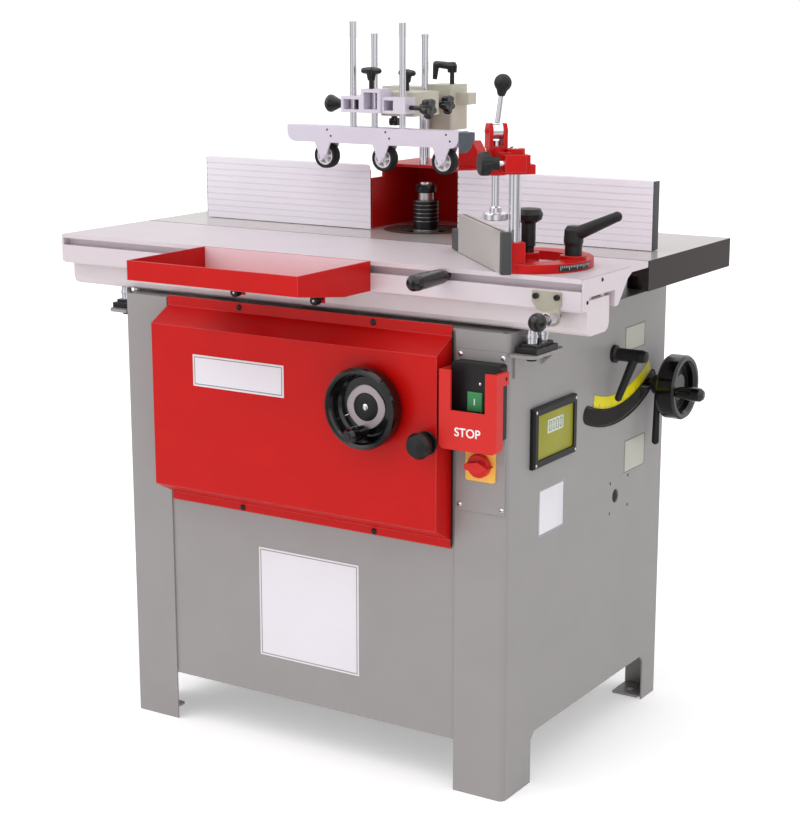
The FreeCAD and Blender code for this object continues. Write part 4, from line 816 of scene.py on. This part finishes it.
@dataclass
class Controls:
    """Switches, locks, height read-out and handwheels."""

    stop_letter: float = 19.0
    stop_rise: float = 28.0
    start_bar: Pair = (1.1, 5.0)
    isolator_bar: Pair = (0.7, 2.0)
    screw_insets: Span = ((7.0, 5.0), (9.0, 8.0))
    recess: Pair = (1.9, 0.35)
    face_depth: float = 2.6
    face_inset: float = 12.3
    window: Span = ((46.0, 100.0), (50.0, 72.0))
    corner_inset: float = 6.0
    digits: int = 4
    digit_spot: Pair = (51.0, 53.5)
    digit_pitch: float = 12.2
    digit_size: Pair = (7.6, 15.0)
    segment: float = 1.1
    dial_radii: Pair = (22.5, 35.5)
    web_front: float = 9.0
    pointers: tuple[Spot, ...] = ((-100.0, 2.6, 0.5), (205.0, 0.7, 0.7))
    pointer_reach: Pair = (1.0, 9.0)

    def build(self) -> None:
        """Dress the controls and add their marks."""
        dress(BLACK_PLASTIC, "switch_box", "display_unit")
        dress(YELLOW_PLASTIC, "isolator_plate")
        dress(GREEN_PLASTIC, "start_button")
        dress(RED_PLASTIC, "stop_flap", "isolator_knob")
        dress(BLACK_PLASTIC, "height_lock_knob", "tilt_lock_lever")
        dress(BLACK_GLOSS, "height_wheel", "height_wheel_grip", "tilt_wheel", "tilt_wheel_grip")
        dress(DARK_STEEL, "tilt_shaft_lever")
        self.switch_marks()
        self.plate_screws()
        self.display()
        self.dial()

    def switch_marks(self) -> None:
        """Letters on the stop flap, bar on the start button, a screw and the marks of the main switch."""
        low, high = reach("stop_flap")
        spot = Vector(((low.x + high.x) / 2, low.y - 0.1, low.z + self.stop_rise)) * MM
        matrix = Matrix.Translation(spot) @ Matrix.Rotation(math.pi / 2, 4, "X")
        word("STOP", self.stop_letter, matrix, "stop_word", MARK_WHITE, Body.FLAP)
        low, high = reach("start_button")
        middle = (low + high) / 2
        wide, tall = self.start_bar
        form = Form().block((middle.x - wide, low.y - 0.25, middle.z - tall),
                            (middle.x + wide, low.y + 0.2, middle.z + tall))
        form.piece("start_mark", MARK_WHITE, Body.START, Slot.GREEN)
        face = reach("switch_box")[0].y
        shape = [(0, 1.4), (1.2, 1.3), (2.2, 0.8), (2.6, 0), (0, 0)]
        form = Form().lathe(shape, (middle.x + 8, face, middle.z + 28), FRONT, 24)
        form.piece("switch_screw", BRIGHT_STEEL, Body.CABINET, Slot.BRIGHT)
        low, high = reach("isolator_plate")
        wide, tall = self.isolator_bar
        form = Form()
        for x, z in (((low.x + high.x) / 2, high.z - 4), (low.x + 4, (low.z + high.z) / 2)):
            form.block((x - wide, low.y - 0.12, z - tall), (x + wide, low.y + 0.1, z + tall))
        form.piece("isolator_marks", MARK_BLACK, Body.CABINET, Slot.BLACK)

    def plate_screws(self) -> None:
        """Bright cross-recessed heads over the switch plate's four screws, with black crosses as painted
        shade in the recesses.
        """
        low, high = reach("switch_plate")
        (left, right), (foot, head) = self.screw_insets
        long, thin = self.recess
        heads, recess_shade_marks = Form(), Form()
        dome = [(0, 3.3), (1.6, 3.2), (3.2, 2.4), (4.2, 0.9), (4.4, 0), (0, 0)]
        for x in (low.x + left, high.x - right):
            for z in (low.z + foot, high.z - head):
                heads.lathe(dome, (x, low.y, z), FRONT, 32)
                # Black crosses: painted shade inside the screw recesses.
                recess_shade_marks.block((x - long, low.y - 3.36, z - thin), (x + long, low.y - 2.6, z + thin))
                recess_shade_marks.block((x - thin, low.y - 3.37, z - long), (x + thin, low.y - 2.6, z + long))
        heads.piece("plate_screw_heads", BRIGHT_STEEL, Body.CABINET, Slot.BRIGHT)
        recess_shade_marks.piece("plate_screw_recess_shade", MARK_BLACK, Body.CABINET, Slot.BLACK)

    def display(self) -> None:
        """Face, window and digits of the height read-out, and its four screws."""
        low, high = reach("display_unit")
        face = high.x - self.face_depth
        inset = self.face_inset
        form = Form().block((face - 0.6, low.y + inset, low.z + inset),
                            (face, high.y - inset, high.z - inset), 0.2)
        form.piece("display_face", DISPLAY_GREEN, Body.CABINET, Slot.YELLOW)
        (near, far), (foot, head) = self.window
        window = Form().block((face - 0.2, low.y + near, low.z + foot),
                              (face + 0.5, low.y + far, low.z + head), 0.2)
        window.piece("display_window", GLASS_GREY, Body.CABINET, Slot.GREEN)
        marks = Form()
        along, up = self.digit_spot
        for digit in range(self.digits):
            self.digit(marks, face + 0.5, low.y + along + self.digit_pitch * digit, low.z + up)
        marks.piece("display_digits", MARK_BLACK, Body.CABINET, Slot.BLACK)
        screws = Form()
        shape = [(0, 1.3), (1.6, 1.0), (2.6, 0.2), (2.6, -0.6), (0, -0.6)]
        for y in (low.y + self.corner_inset, high.y - self.corner_inset):
            for z in (low.z + self.corner_inset, high.z - self.corner_inset):
                screws.lathe(shape, (high.x, y, z), RIGHT, 24)
        screws.piece("display_screws", BRIGHT_STEEL, Body.CABINET, Slot.BRIGHT)

    def digit(self, form: Form, x: float, y: float, z: float) -> None:
        """One zero of the read-out, drawn with bars.

        Args:
            form: Form to add to.
            x: Plane of the window.
            y: Left end of the digit.
            z: Foot of the digit.
        """
        wide, tall = self.digit_size
        bar = self.segment
        back, front = x - 0.1, x + 0.12
        for left in (y, y + wide - bar):
            for foot in (z + 0.6, z + tall / 2 + 0.4):
                form.block((back, left, foot), (front, left + bar, foot + tall / 2 - 1.0))
        for foot in (z, z + tall - bar):
            form.block((back, y + 0.9, foot), (front, y + wide - 0.9, foot + bar))

    def dial(self) -> None:
        """Grey dial ring, centre cap, screw and pointer marks of the front handwheel."""
        axis = pivot("height_wheel_turn")
        inner, outer = self.dial_radii
        spot = (axis.x, axis.y - self.web_front, axis.z)
        ring = [(inner, 0), (outer - 0.6, 0), (outer, 0.6), (outer, 1.6), (outer - 0.8, 2.2)]
        ring += [(inner, 2.2), (inner, 0)]
        form = Form().lathe(ring, spot, FRONT, 96, lobes=4, dip=0.05, inner=outer - 1)
        form.piece("height_dial", DIAL_ALLOY, Body.HEIGHT_WHEEL, Slot.ALUMINIUM)
        cap = [(inner - 0.4, 0), (inner - 0.4, 2.6), (inner - 2, 3.4), (9, 3.8), (8.4, 3.0), (0, 3.0)]
        form = Form().lathe(cap, spot, FRONT, 64)
        form.piece("height_dial_cap", BLACK_PLASTIC, Body.HEIGHT_WHEEL, Slot.BLACK)
        screw = [(0, 5.6), (3.4, 5.4), (5.2, 4.4), (5.6, 3.0), (0, 3.0)]
        form = Form().lathe(screw, spot, FRONT, 32)
        form.piece("height_dial_screw", BRIGHT_STEEL, Body.HEIGHT_WHEEL, Slot.BRIGHT)
        marks = Form()
        near, far = (outer + away for away in self.pointer_reach)
        for degrees, base, tip in self.pointers:
            outline = ((near, -tip), (far, -base), (far, base), (near, tip))
            wedge(marks, spot, math.radians(degrees), outline, -0.2)
        marks.piece("height_dial_marks", MARK_WHITE, Body.HEIGHT_WHEEL, Slot.BLACK)


@dataclass
class Tables:
    """Ground table, sliding table and what is fixed to it."""

    knob_spots: Pair = (-113.0, 44.0)
    knob_drop: float = 20.0
    tab_half: float = 6.0
    tab_drop: float = 27.0
    strip_inset: float = 2.7
    latch_side: float = 14.0
    latch_screws: Pair = (-27.0, 8.0)
    latch_drop: float = 38.0
    end_screw_spots: Span = ((10.0, 34.0), (58.0, 6.0))

    def build(self) -> None:
        """Dress the tables and add clamp knobs, strip, sleeves and screws."""
        dress(GROUND_IRON, "main_table")
        dress(INSERT_STEEL, "insert_ring")
        dress(LATCH_STEEL, "latch_plate")
        dress(DECK_ALLOY, "sliding_table", "sliding_end_plates")
        dress(RED_PAINT, "extension_table")
        dress(BLACK_GLOSS, "push_handle", "latch_plunger")
        self.extension_knobs()
        self.tray_strip()
        self.latch_heads()
        self.latch_sleeve()
        self.end_screws()

    def extension_knobs(self) -> None:
        """Tabs under the sheet tray with the knobs that clamp it to the sliding table."""
        low, high = reach("extension_table")
        knobs, dots, tabs = Form(), Form(), Form()
        head = [(0, 0), (3, 0), (3, 9), (5.5, 9), (7.6, 12), (7.9, 15), (7.9, 23), (6.6, 25)]
        head += [(2.6, 25), (2.6, 24), (0, 24)]
        dot = [(2.3, 24), (2.3, 25.2), (1.2, 25.8), (0, 25.8)]
        for x in self.knob_spots:
            spot = (x, high.y - 0.4, low.z - self.knob_drop)
            knobs.lathe(head, spot, FRONT, 40)
            dots.lathe(dot, spot, FRONT, 24)
            near = (x - self.tab_half, high.y - 3.2, low.z - self.tab_drop)
            tabs.block(near, (x + self.tab_half, high.y - 0.4, low.z + 0.6), 0.6)
        knobs.piece("extension_knobs", BLACK_PLASTIC, Body.SLIDING, Slot.BLACK)
        dots.piece("extension_knob_screws", BRIGHT_STEEL, Body.SLIDING, Slot.BRIGHT)
        tabs.piece("extension_tabs", RED_PAINT, Body.SLIDING, Slot.RED)

    def tray_strip(self) -> None:
        """Bare alloy strip inside the back wall of the sheet tray, coloured near white as a painted
        reflection of light off the tray's inside.
        """
        low, high = reach("extension_table")
        face = high.y - 2.5
        left, right = low.x + self.strip_inset, high.x - self.strip_inset
        # The strip's pale colour is a painted reflection on top of the alloy's own tone.
        form = Form().block((left, face - 0.6, low.z + 2.8), (right, face, high.z - 0.4), 0.2)
        form.piece("tray_strip", TRAY_PAINTED_SHEEN, Body.SLIDING, Slot.ALUMINIUM)

    def latch_heads(self) -> None:
        """Black socket heads over the latch plate's screws."""
        high = reach("latch_plate")[1]
        form = Form()
        cap = [(0, 3.0), (1.9, 3.0), (1.9, 4.6), (4.0, 4.6), (4.5, 4.0), (4.5, 0), (0, 0)]
        for across in self.latch_screws:
            form.lathe(cap, (high.x - self.latch_side + across, high.y - 3, high.z - 7), FRONT, 32)
        form.piece("latch_screws", BLACK_PLASTIC, Body.SLIDING, Slot.DARK_STEEL)

    def latch_sleeve(self) -> None:
        """Bright sleeves on the latch pin and on the barrel that guides it."""
        high = reach("latch_plate")[1]
        skin = [(6.4, 24.3), (9.8, 24.3), (10.8, 23.4), (10.8, 3.1), (10.52, 3.1)]
        skin += [(10.52, 24.02), (6.4, 24.02), (6.4, 24.3)]
        spot = (high.x - self.latch_side, high.y, high.z - self.latch_drop)
        Form().lathe(skin, spot, FRONT, 56).piece("latch_sleeve", BRIGHT_STEEL, Body.SLIDING, Slot.BRIGHT)
        neck = [(5.02, 24.6), (5.2, 24.6), (5.2, 36), (5.02, 36), (5.02, 24.6)]
        Form().lathe(neck, spot, FRONT, 40).piece("latch_neck", BRIGHT_STEEL, Body.LATCH, Slot.BRIGHT)

    def end_screws(self) -> None:
        """Screws that hold the right end plate of the sliding table."""
        low, high = reach("sliding_end_plates")
        form = Form()
        shape = [(0, 1.6), (1.6, 1.5), (2.8, 0.8), (3.1, 0), (0, 0)]
        for back, down in self.end_screw_spots:
            form.lathe(shape, (high.x, low.y + back, high.z - down), RIGHT, 24)
        form.piece("end_plate_screws", DARK_STEEL, Body.SLIDING, Slot.DARK_STEEL)


@dataclass
class Fence:
    """Hood, fence plates and pressure device."""

    dots: Span = ((10.0, 22.0), (17.5, 11.5))
    bar_rise: float = 23.0
    end_length: float = 15.0
    end_half: float = 13.5
    end_thick: float = 1.2
    rods: tuple[Spot, ...] = ((-76.0, 0.0, 204.0), (-36.0, 5.0, 184.0), (23.0, 0.0, 202.0))
    rod_skin: float = 5.535

    def build(self) -> None:
        """Dress the fence and add rollers, screws, rod sleeves, end piece and end plates."""
        dress(RED_PAINT, "hood")
        dress(FENCE_ALLOY, "left_fence", "right_fence")
        dress(BRIGHT_STEEL, "pressure_post")
        dress(BEIGE_PAINT, "pressure_bracket")
        dress(BAR_ALLOY, "pressure_arms", "pressure_bar")
        dress(BLACK_GLOSS, "pressure_knobs")
        for side in Side:
            Roller(side).build()
        self.bar_screws()
        self.bar_end()
        self.rod_sleeves()
        self.end_plates()

    def rod_sleeves(self) -> None:
        """Chromed skin of the roller bar's three upright rods."""
        middle = pivot("roller_middle_spin")
        foot = middle.z + self.bar_rise
        skin = self.rod_skin
        form = Form()
        for x, back, tall in self.rods:
            top = tall - 0.05
            form.lathe([(skin, 28.4), (skin, top), (0, top)], (x, middle.y + back, foot), UP, 72)
        form.piece("rod_sleeves", BRIGHT_STEEL, Body.BAR, Slot.BRIGHT)

    def end_plates(self) -> None:
        """Dark plates on the outer ends of the two fence plates: end caps, and painted shade on these end
        faces.
        """
        for node, body in (("left_fence", Body.LEFT_FENCE), ("right_fence", Body.RIGHT_FENCE)):
            low, high = reach(node)
            near = low.x - self.end_thick if body is Body.LEFT_FENCE else high.x
            far = near + self.end_thick
            # The dark cap colour also paints the shade that falls on the end faces.
            form = Form().block((near, low.y + 0.2, low.z + 0.2), (far, high.y - 0.2, high.z - 0.2), 0.4)
            form.piece(f"{node}_end", CAP_PLASTIC, body, Slot.BLACK)

    def bar_screws(self) -> None:
        """Pairs of dark screws on the front of the roller bar."""
        low = reach("pressure_bar")[0]
        form = Form()
        shape = [(0, 0.7), (1.4, 0.6), (1.9, 0.0), (1.9, -0.5), (0, -0.5)]
        for side in Side:
            middle = pivot(side.joint())
            for across, up in self.dots:
                spot = (middle.x + across, low.y + 2.0, middle.z + self.bar_rise + up)
                form.lathe(shape, spot, FRONT, 20)
        form.piece("bar_screws", MARK_BLACK, Body.BAR, Slot.DARK_STEEL)

    def bar_end(self) -> None:
        """Dark rubber end piece of the roller bar."""
        middle = pivot("roller_right_spin")
        right = reach("pressure_bar")[1].x
        tip = right + self.end_length
        foot = middle.z + self.bar_rise
        front = middle.y - self.end_half
        corners = ((right, foot + 27), (tip, foot + 26), (tip, foot + 14),
                   (right + 6, foot - 3), (right, foot - 8))
        form = Form().prism([(x, front, z) for x, z in corners], (0, 2 * self.end_half, 0))
        form.piece("bar_end_piece", GREY_RUBBER, Body.BAR, Slot.RUBBER)


class Side(Enum):
    """The three pressure rollers."""

    LEFT = "left"
    MIDDLE = "middle"
    RIGHT = "right"

    def joint(self) -> str:
        """Name of the roller's joint."""
        return f"roller_{self.value}_spin"

    def body(self) -> Body:
        """Body of the roller."""
        return Body(f"roller_{self.value}")


@dataclass
class Roller:
    """Pressure roller: rubber tyre on a spoked white wheel."""

    side: Side
    spokes: int = 5
    spoke_halves: Pair = (1.9, 2.6)
    spoke_deep: float = 13.0
    rim_radius: float = 16.2
    hub_radius: float = 6.6
    half_width: float = 10.0

    def build(self) -> None:
        """Make tyre and wheel in place of the plain node."""
        node = f"press_wheel_{self.side.value}"
        low, high = reach(node)
        axis = pivot(self.side.joint())
        spot = (axis.x, axis.y, axis.z)
        body = self.side.body()
        radius = (high.z - low.z) / 2
        half, rim, edge = self.half_width, self.rim_radius, self.hub_radius
        tread = [(rim, -half + 1), (rim + 1.5, -half), (radius - 2, -half), (radius - 0.6, -half + 2)]
        tread += [(radius, -3), (radius, 3), (radius - 0.6, half - 2), (radius - 2, half)]
        tread += [(rim + 1.5, half), (rim, half - 1), (rim, -half + 1)]
        tyre = Form().lathe(tread, spot, BACK, 64)
        made = tyre.piece(f"tyre_{self.side.value}", BLACK_RUBBER, body, Slot.RUBBER)
        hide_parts(node)
        wheel = Form()
        ring = [(rim - 2.6, -7.5), (rim - 0.1, -7.8), (rim - 0.1, 7.8), (rim - 2.6, 7.5), (rim - 3.2, 0)]
        ring.append(ring[0])
        wheel.lathe(ring, spot, BACK, 64)
        hub = [(4.1, -11), (edge - 0.6, -11), (edge, -10), (edge, 10), (edge - 0.6, 11), (4.1, 11)]
        hub.append(hub[0])
        wheel.lathe(hub, spot, BACK, 40)
        near, far = edge - 0.6, rim - 2.4
        slim, broad = self.spoke_halves
        front = (axis.x, axis.y - self.spoke_deep / 2, axis.z)
        for index in range(self.spokes):
            outline = ((near, -slim), (far, -broad), (far, broad), (near, slim))
            wedge(wheel, front, math.tau * index / self.spokes, outline, self.spoke_deep)
        wheel.piece(f"wheel_{self.side.value}", WHITE_PLASTIC, body, Slot.RUBBER)


@dataclass
class MitreGauge:
    """Mitre gauge and workpiece clamp on the sliding table."""

    angle: float = -45.0
    base_radius: float = 100.0
    scale_turn: Pair = (10.0, 50.0)
    scale_rise: Pair = (2.5, 9.0)
    scale_steps: int = 30
    mark_steps: int = 20
    mark_half: float = 0.22
    mark_top: float = 11.0
    knob_spot: Spot = (91.0, -66.0, 163.0)
    right_cap: Box = ((85.6, -69.8, 0.3), (98.3, -54.9, 62.8))
    left_cap: Box = ((-205.4, -67.4, 0.8), (-157.6, -56.6, 33.4))
    groove: Box = ((-152.0, -64.5, 61.6), (80.0, -60.5, 62.15))
    lever_foot: Spot = (62.0, -69.0, 217.0)
    lever_lean: Spot = (0.0, 8.0, 60.0)
    cam_spot: Spot = (62.0, -70.0, 208.0)

    def build(self) -> None:
        """Dress the gauge and the clamp, and add scale, caps, groove, knob and sleeves."""
        dress(RED_PAINT, "mitre_base", "clamp_head")
        dress(MITRE_ALLOY, "mitre_fence")
        dress(BRIGHT_STEEL, "clamp_pillar", "hold_down")
        dress(BLACK_PLASTIC, "mitre_lock_lever", "mitre_knob", "clamp_lever")
        self.scale()
        self.fence_caps()
        self.side_knob()
        self.lever_sleeves()

    def placed(self, form: Form) -> Form:
        """Form drawn in the gauge's own frame, set in its place."""
        return form.place(self.angle, pivot("mitre_turn"))

    def on_rim(self, degrees: float, proud: float, height: float) -> Spot:
        """Point on the base's rim, in the gauge's own frame.

        Args:
            degrees: Angle round the rim.
            proud: How far it stands out of the rim.
            height: Height above the sliding table.

        Returns:
            The point.
        """
        angle = math.radians(degrees)
        radius = self.base_radius + proud
        return radius * math.cos(angle), radius * math.sin(angle), height

    def scale(self) -> None:
        """Black strip with white marks on the base's rim."""
        foot, tall = self.scale_rise
        turns = evenly(self.scale_turn, self.scale_steps)
        outline = [self.on_rim(turn, 0.5, foot) for turn in turns]
        outline += [self.on_rim(turn, -0.4, foot) for turn in reversed(turns)]
        strip = self.placed(Form().prism(outline, (0, 0, tall)))
        strip.piece("mitre_scale", MARK_BLACK, Body.GAUGE, Slot.BLACK)
        marks = Form()
        start, end = self.scale_turn
        for mark, turn in enumerate(evenly((start + 2, end - 2), self.mark_steps)):
            long = 6.5 if mark % 5 == 0 else 3.5
            left, right = turn - self.mark_half, turn + self.mark_half
            spots = ((left, 0.5), (right, 0.5), (right, 0.7), (left, 0.7))
            marks.prism([self.on_rim(angle, proud, self.mark_top) for angle, proud in spots], (0, 0, -long))
        self.placed(marks).piece("mitre_scale_marks", MARK_WHITE, Body.GAUGE, Slot.BLACK)

    def fence_caps(self) -> None:
        """Dark caps over the ends of the mitre fence, and a black strip along its top that paints the shade
        in its groove.
        """
        form = Form().block(*self.right_cap, 0.8).block(*self.left_cap, 0.8)
        self.placed(form).piece("mitre_fence_caps", CAP_PLASTIC, Body.GAUGE, Slot.RUBBER)
        # Black strip: painted shade of the groove along the fence's top.
        groove = self.placed(Form().block(*self.groove, 0.1))
        groove.piece("mitre_fence_groove_shade", MARK_BLACK, Body.GAUGE, Slot.BLACK)

    def side_knob(self) -> None:
        """Knurled knob that clamps the head to the pillar."""
        screw = [(0, -1), (4, -1), (4, 9.5), (0, 9.5)]
        form = self.placed(Form().lathe(screw, self.knob_spot, FRONT, 32))
        form.piece("clamp_side_screw", BRIGHT_STEEL, Body.CLAMP, Slot.BRIGHT)
        shape = [(0, 9), (9.4, 9), (10, 10), (10, 20), (16, 21.4), (17.4, 23.5)]
        shape += [(17.4, 34.5), (15, 37.6), (0, 38.4)]
        form = self.placed(Form().lathe(shape, self.knob_spot, FRONT, 72, lobes=18, dip=0.05, inner=15.5))
        form.piece("clamp_side_knob", BLACK_PLASTIC, Body.CLAMP, Slot.BLACK)

    def lever_sleeves(self) -> None:
        """Bright arm and cam of the clamp lever."""
        arm = [(3.64, 3), (3.8, 3), (3.74, 41), (3.56, 41), (3.64, 3)]
        ring = [(11.9, -7.62), (12.18, -7.4), (12.18, 7.4), (11.9, 7.62), (4.3, 7.62), (4.3, -7.62)]
        ring.append(ring[0])
        form = Form().lathe(arm, self.lever_foot, self.lever_lean, 40).lathe(ring, self.cam_spot, BACK, 64)
        self.placed(form).piece("clamp_lever_skin", BRIGHT_STEEL, Body.CLAMP_LEVER, Slot.BRIGHT)


@dataclass
class Drive:
    """Spindle, rings, carriage and motor."""

    ring_joints: tuple[int, ...] = (16, 23, 30, 37, 44, 51)

    def build(self) -> None:
        """Dress the drive's nodes and add the rings' rubbed edges."""
        dress(BARE_STEEL, "spindle_arbor", "motor_pulley", "lift_screw")
        dress(DARK_STEEL, "ring_stack")
        dress(GREY_CAST, "tilt_frame", "quill_housing")
        dress(BRIGHT_STEEL, "spindle_bearings")
        dress(MOTOR_PAINT, "motor")
        dress(BLACK_RUBBER, "drive_belt")
        self.ring_edges()

    def ring_edges(self) -> None:
        """Bright rubbed edges of the spacer rings and the bright collar above them."""
        foot = reach("ring_stack")[0].z
        axis = pivot("spindle_spin")
        form = Form()
        edge = [(21.8, -0.5), (22.3, -0.75), (22.56, -1.1), (22.56, -1.5), (21.8, -1.5), (21.8, -0.5)]
        for joint in self.ring_joints:
            form.lathe(edge, (axis.x, axis.y, foot + joint), UP, 72)
        collar = [(13.02, 51.1), (13.3, 51.1), (13.3, 63.9), (13.02, 63.9), (13.02, 51.1)]
        form.lathe(collar, (axis.x, axis.y, foot), UP, 64)
        form.piece("ring_edges", BARE_STEEL, Body.SPINDLE, Slot.STEEL)


@dataclass
class Studio:
    """White floor and backdrop, soft lights and the camera at the photograph's angle."""

    camera_spot: Spot = (1.671, -2.654, 1.246)
    target: Spot = (-0.0004, 0.0, 0.5279)
    lens: float = 78.87
    frame_size: float = 36.0
    floor_reach: float = 60.0
    glow: float = 0.32
    flag_scale: float = 0.3
    flag_edge: float = 0.12
    sky_level: float = 0.75
    soft: float = 70.0
    lights: tuple[tuple[str, Spot, float], ...] = (
        ("key", (-1.6, -2.2, 3.0), 1.15), ("fill", (3.0, -1.0, 2.4), 0.66),
        ("back", (0.6, 2.6, 3.4), 0.45), ("top", (-0.3, -0.5, 4.6), 0.75))

    def build(self) -> None:
        """Set up floor, light and camera."""
        self.floor()
        self.world()
        for name, spot, strength in self.lights:
            self.light(name, spot, strength)
        self.camera()

    def floor(self) -> None:
        """Large pale floor under the machine."""
        data = bpy.data.meshes.new("floor")
        far = self.floor_reach
        data.from_pydata([(-far, -far, 0), (far, -far, 0), (far, far, 0), (-far, far, 0)], [], [(0, 1, 2, 3)])
        ground = bpy.data.objects.new("floor", data)
        bpy.context.scene.collection.objects.link(ground)
        data.materials.append(FLOOR_PAINT.material())
        ground.visible_glossy = False

    def world(self) -> None:
        """White surroundings, dimmer as light than as backdrop, with dark flags that metal mirrors."""
        sky = bpy.data.worlds.new("studio")
        graph = Graph(sky)
        rays, place = graph.add("LightPath"), graph.add("TexCoord")
        flags = graph.add("TexWave", Scale=self.flag_scale)
        graph.join(place, "Generated", flags, "Vector")
        parts = graph.add("SeparateXYZ")
        graph.join(place, "Generated", parts, "Vector")
        above = graph.add("MapRange", From_Max=self.flag_edge, To_Max=self.sky_level)
        graph.join(parts, "Z", above, "Value")
        mirrored = graph.add("Math", operation="MAXIMUM")
        graph.join(flags, "Fac", mirrored, 0)
        graph.join(above, "Result", mirrored, 1)
        shiny = graph.add("Math", operation="MULTIPLY")
        graph.join(rays, "Is Glossy Ray", shiny, 0)
        graph.join(mirrored, "Value", shiny, 1)
        seen = graph.add("Math", operation="MAXIMUM")
        graph.join(rays, "Is Camera Ray", seen, 0)
        graph.join(shiny, "Value", seen, 1)
        level = graph.add("MapRange", To_Min=self.glow)
        graph.join(seen, "Value", level, "Value")
        backdrop = graph.add("Background", Color=WHITE)
        graph.join(level, "Result", backdrop, "Strength")
        graph.join(backdrop, "Background", graph.add("OutputWorld"), "Surface")
        bpy.context.scene.world = sky
        bpy.context.scene.view_settings.view_transform = "Standard"

    def light(self, name: str, spot: Spot, strength: float) -> None:
        """Add a broad soft light that shines evenly from one side.

        Args:
            name: Name of the light.
            spot: Point that it shines from, towards the machine.
            strength: How bright it is.
        """
        lamp = bpy.data.lights.new(name, "SUN")
        lamp.angle = math.radians(self.soft)
        lamp.energy = strength
        holder = bpy.data.objects.new(name, lamp)
        holder.location = spot
        aim = Vector(self.target) - Vector(spot)
        holder.rotation_euler = aim.to_track_quat("-Z", "Y").to_euler()
        bpy.context.scene.collection.objects.link(holder)

    def camera(self) -> None:
        """Camera at the photograph's angle."""
        lens = bpy.data.cameras.new("view")
        lens.sensor_fit = "VERTICAL"
        lens.sensor_height = self.frame_size
        lens.lens = self.lens
        lens.clip_end = self.floor_reach
        holder = bpy.data.objects.new("view", lens)
        holder.location = self.camera_spot
        aim = Vector(self.target) - Vector(self.camera_spot)
        holder.rotation_euler = aim.to_track_quat("-Z", "Y").to_euler()
        bpy.context.scene.collection.objects.link(holder)
        bpy.context.scene.camera = holder


def main() -> None:
    """Build every part of the scene in order."""
    logging.basicConfig(level=logging.INFO, format="%(message)s")
    Studio().build()
    for part in (Cabinet(), Controls(), Tables(), Fence(), MitreGauge(), Drive()):
        LOG.info("building %s", type(part).__name__)
        part.build()


if __name__ == "__main__":
    main()
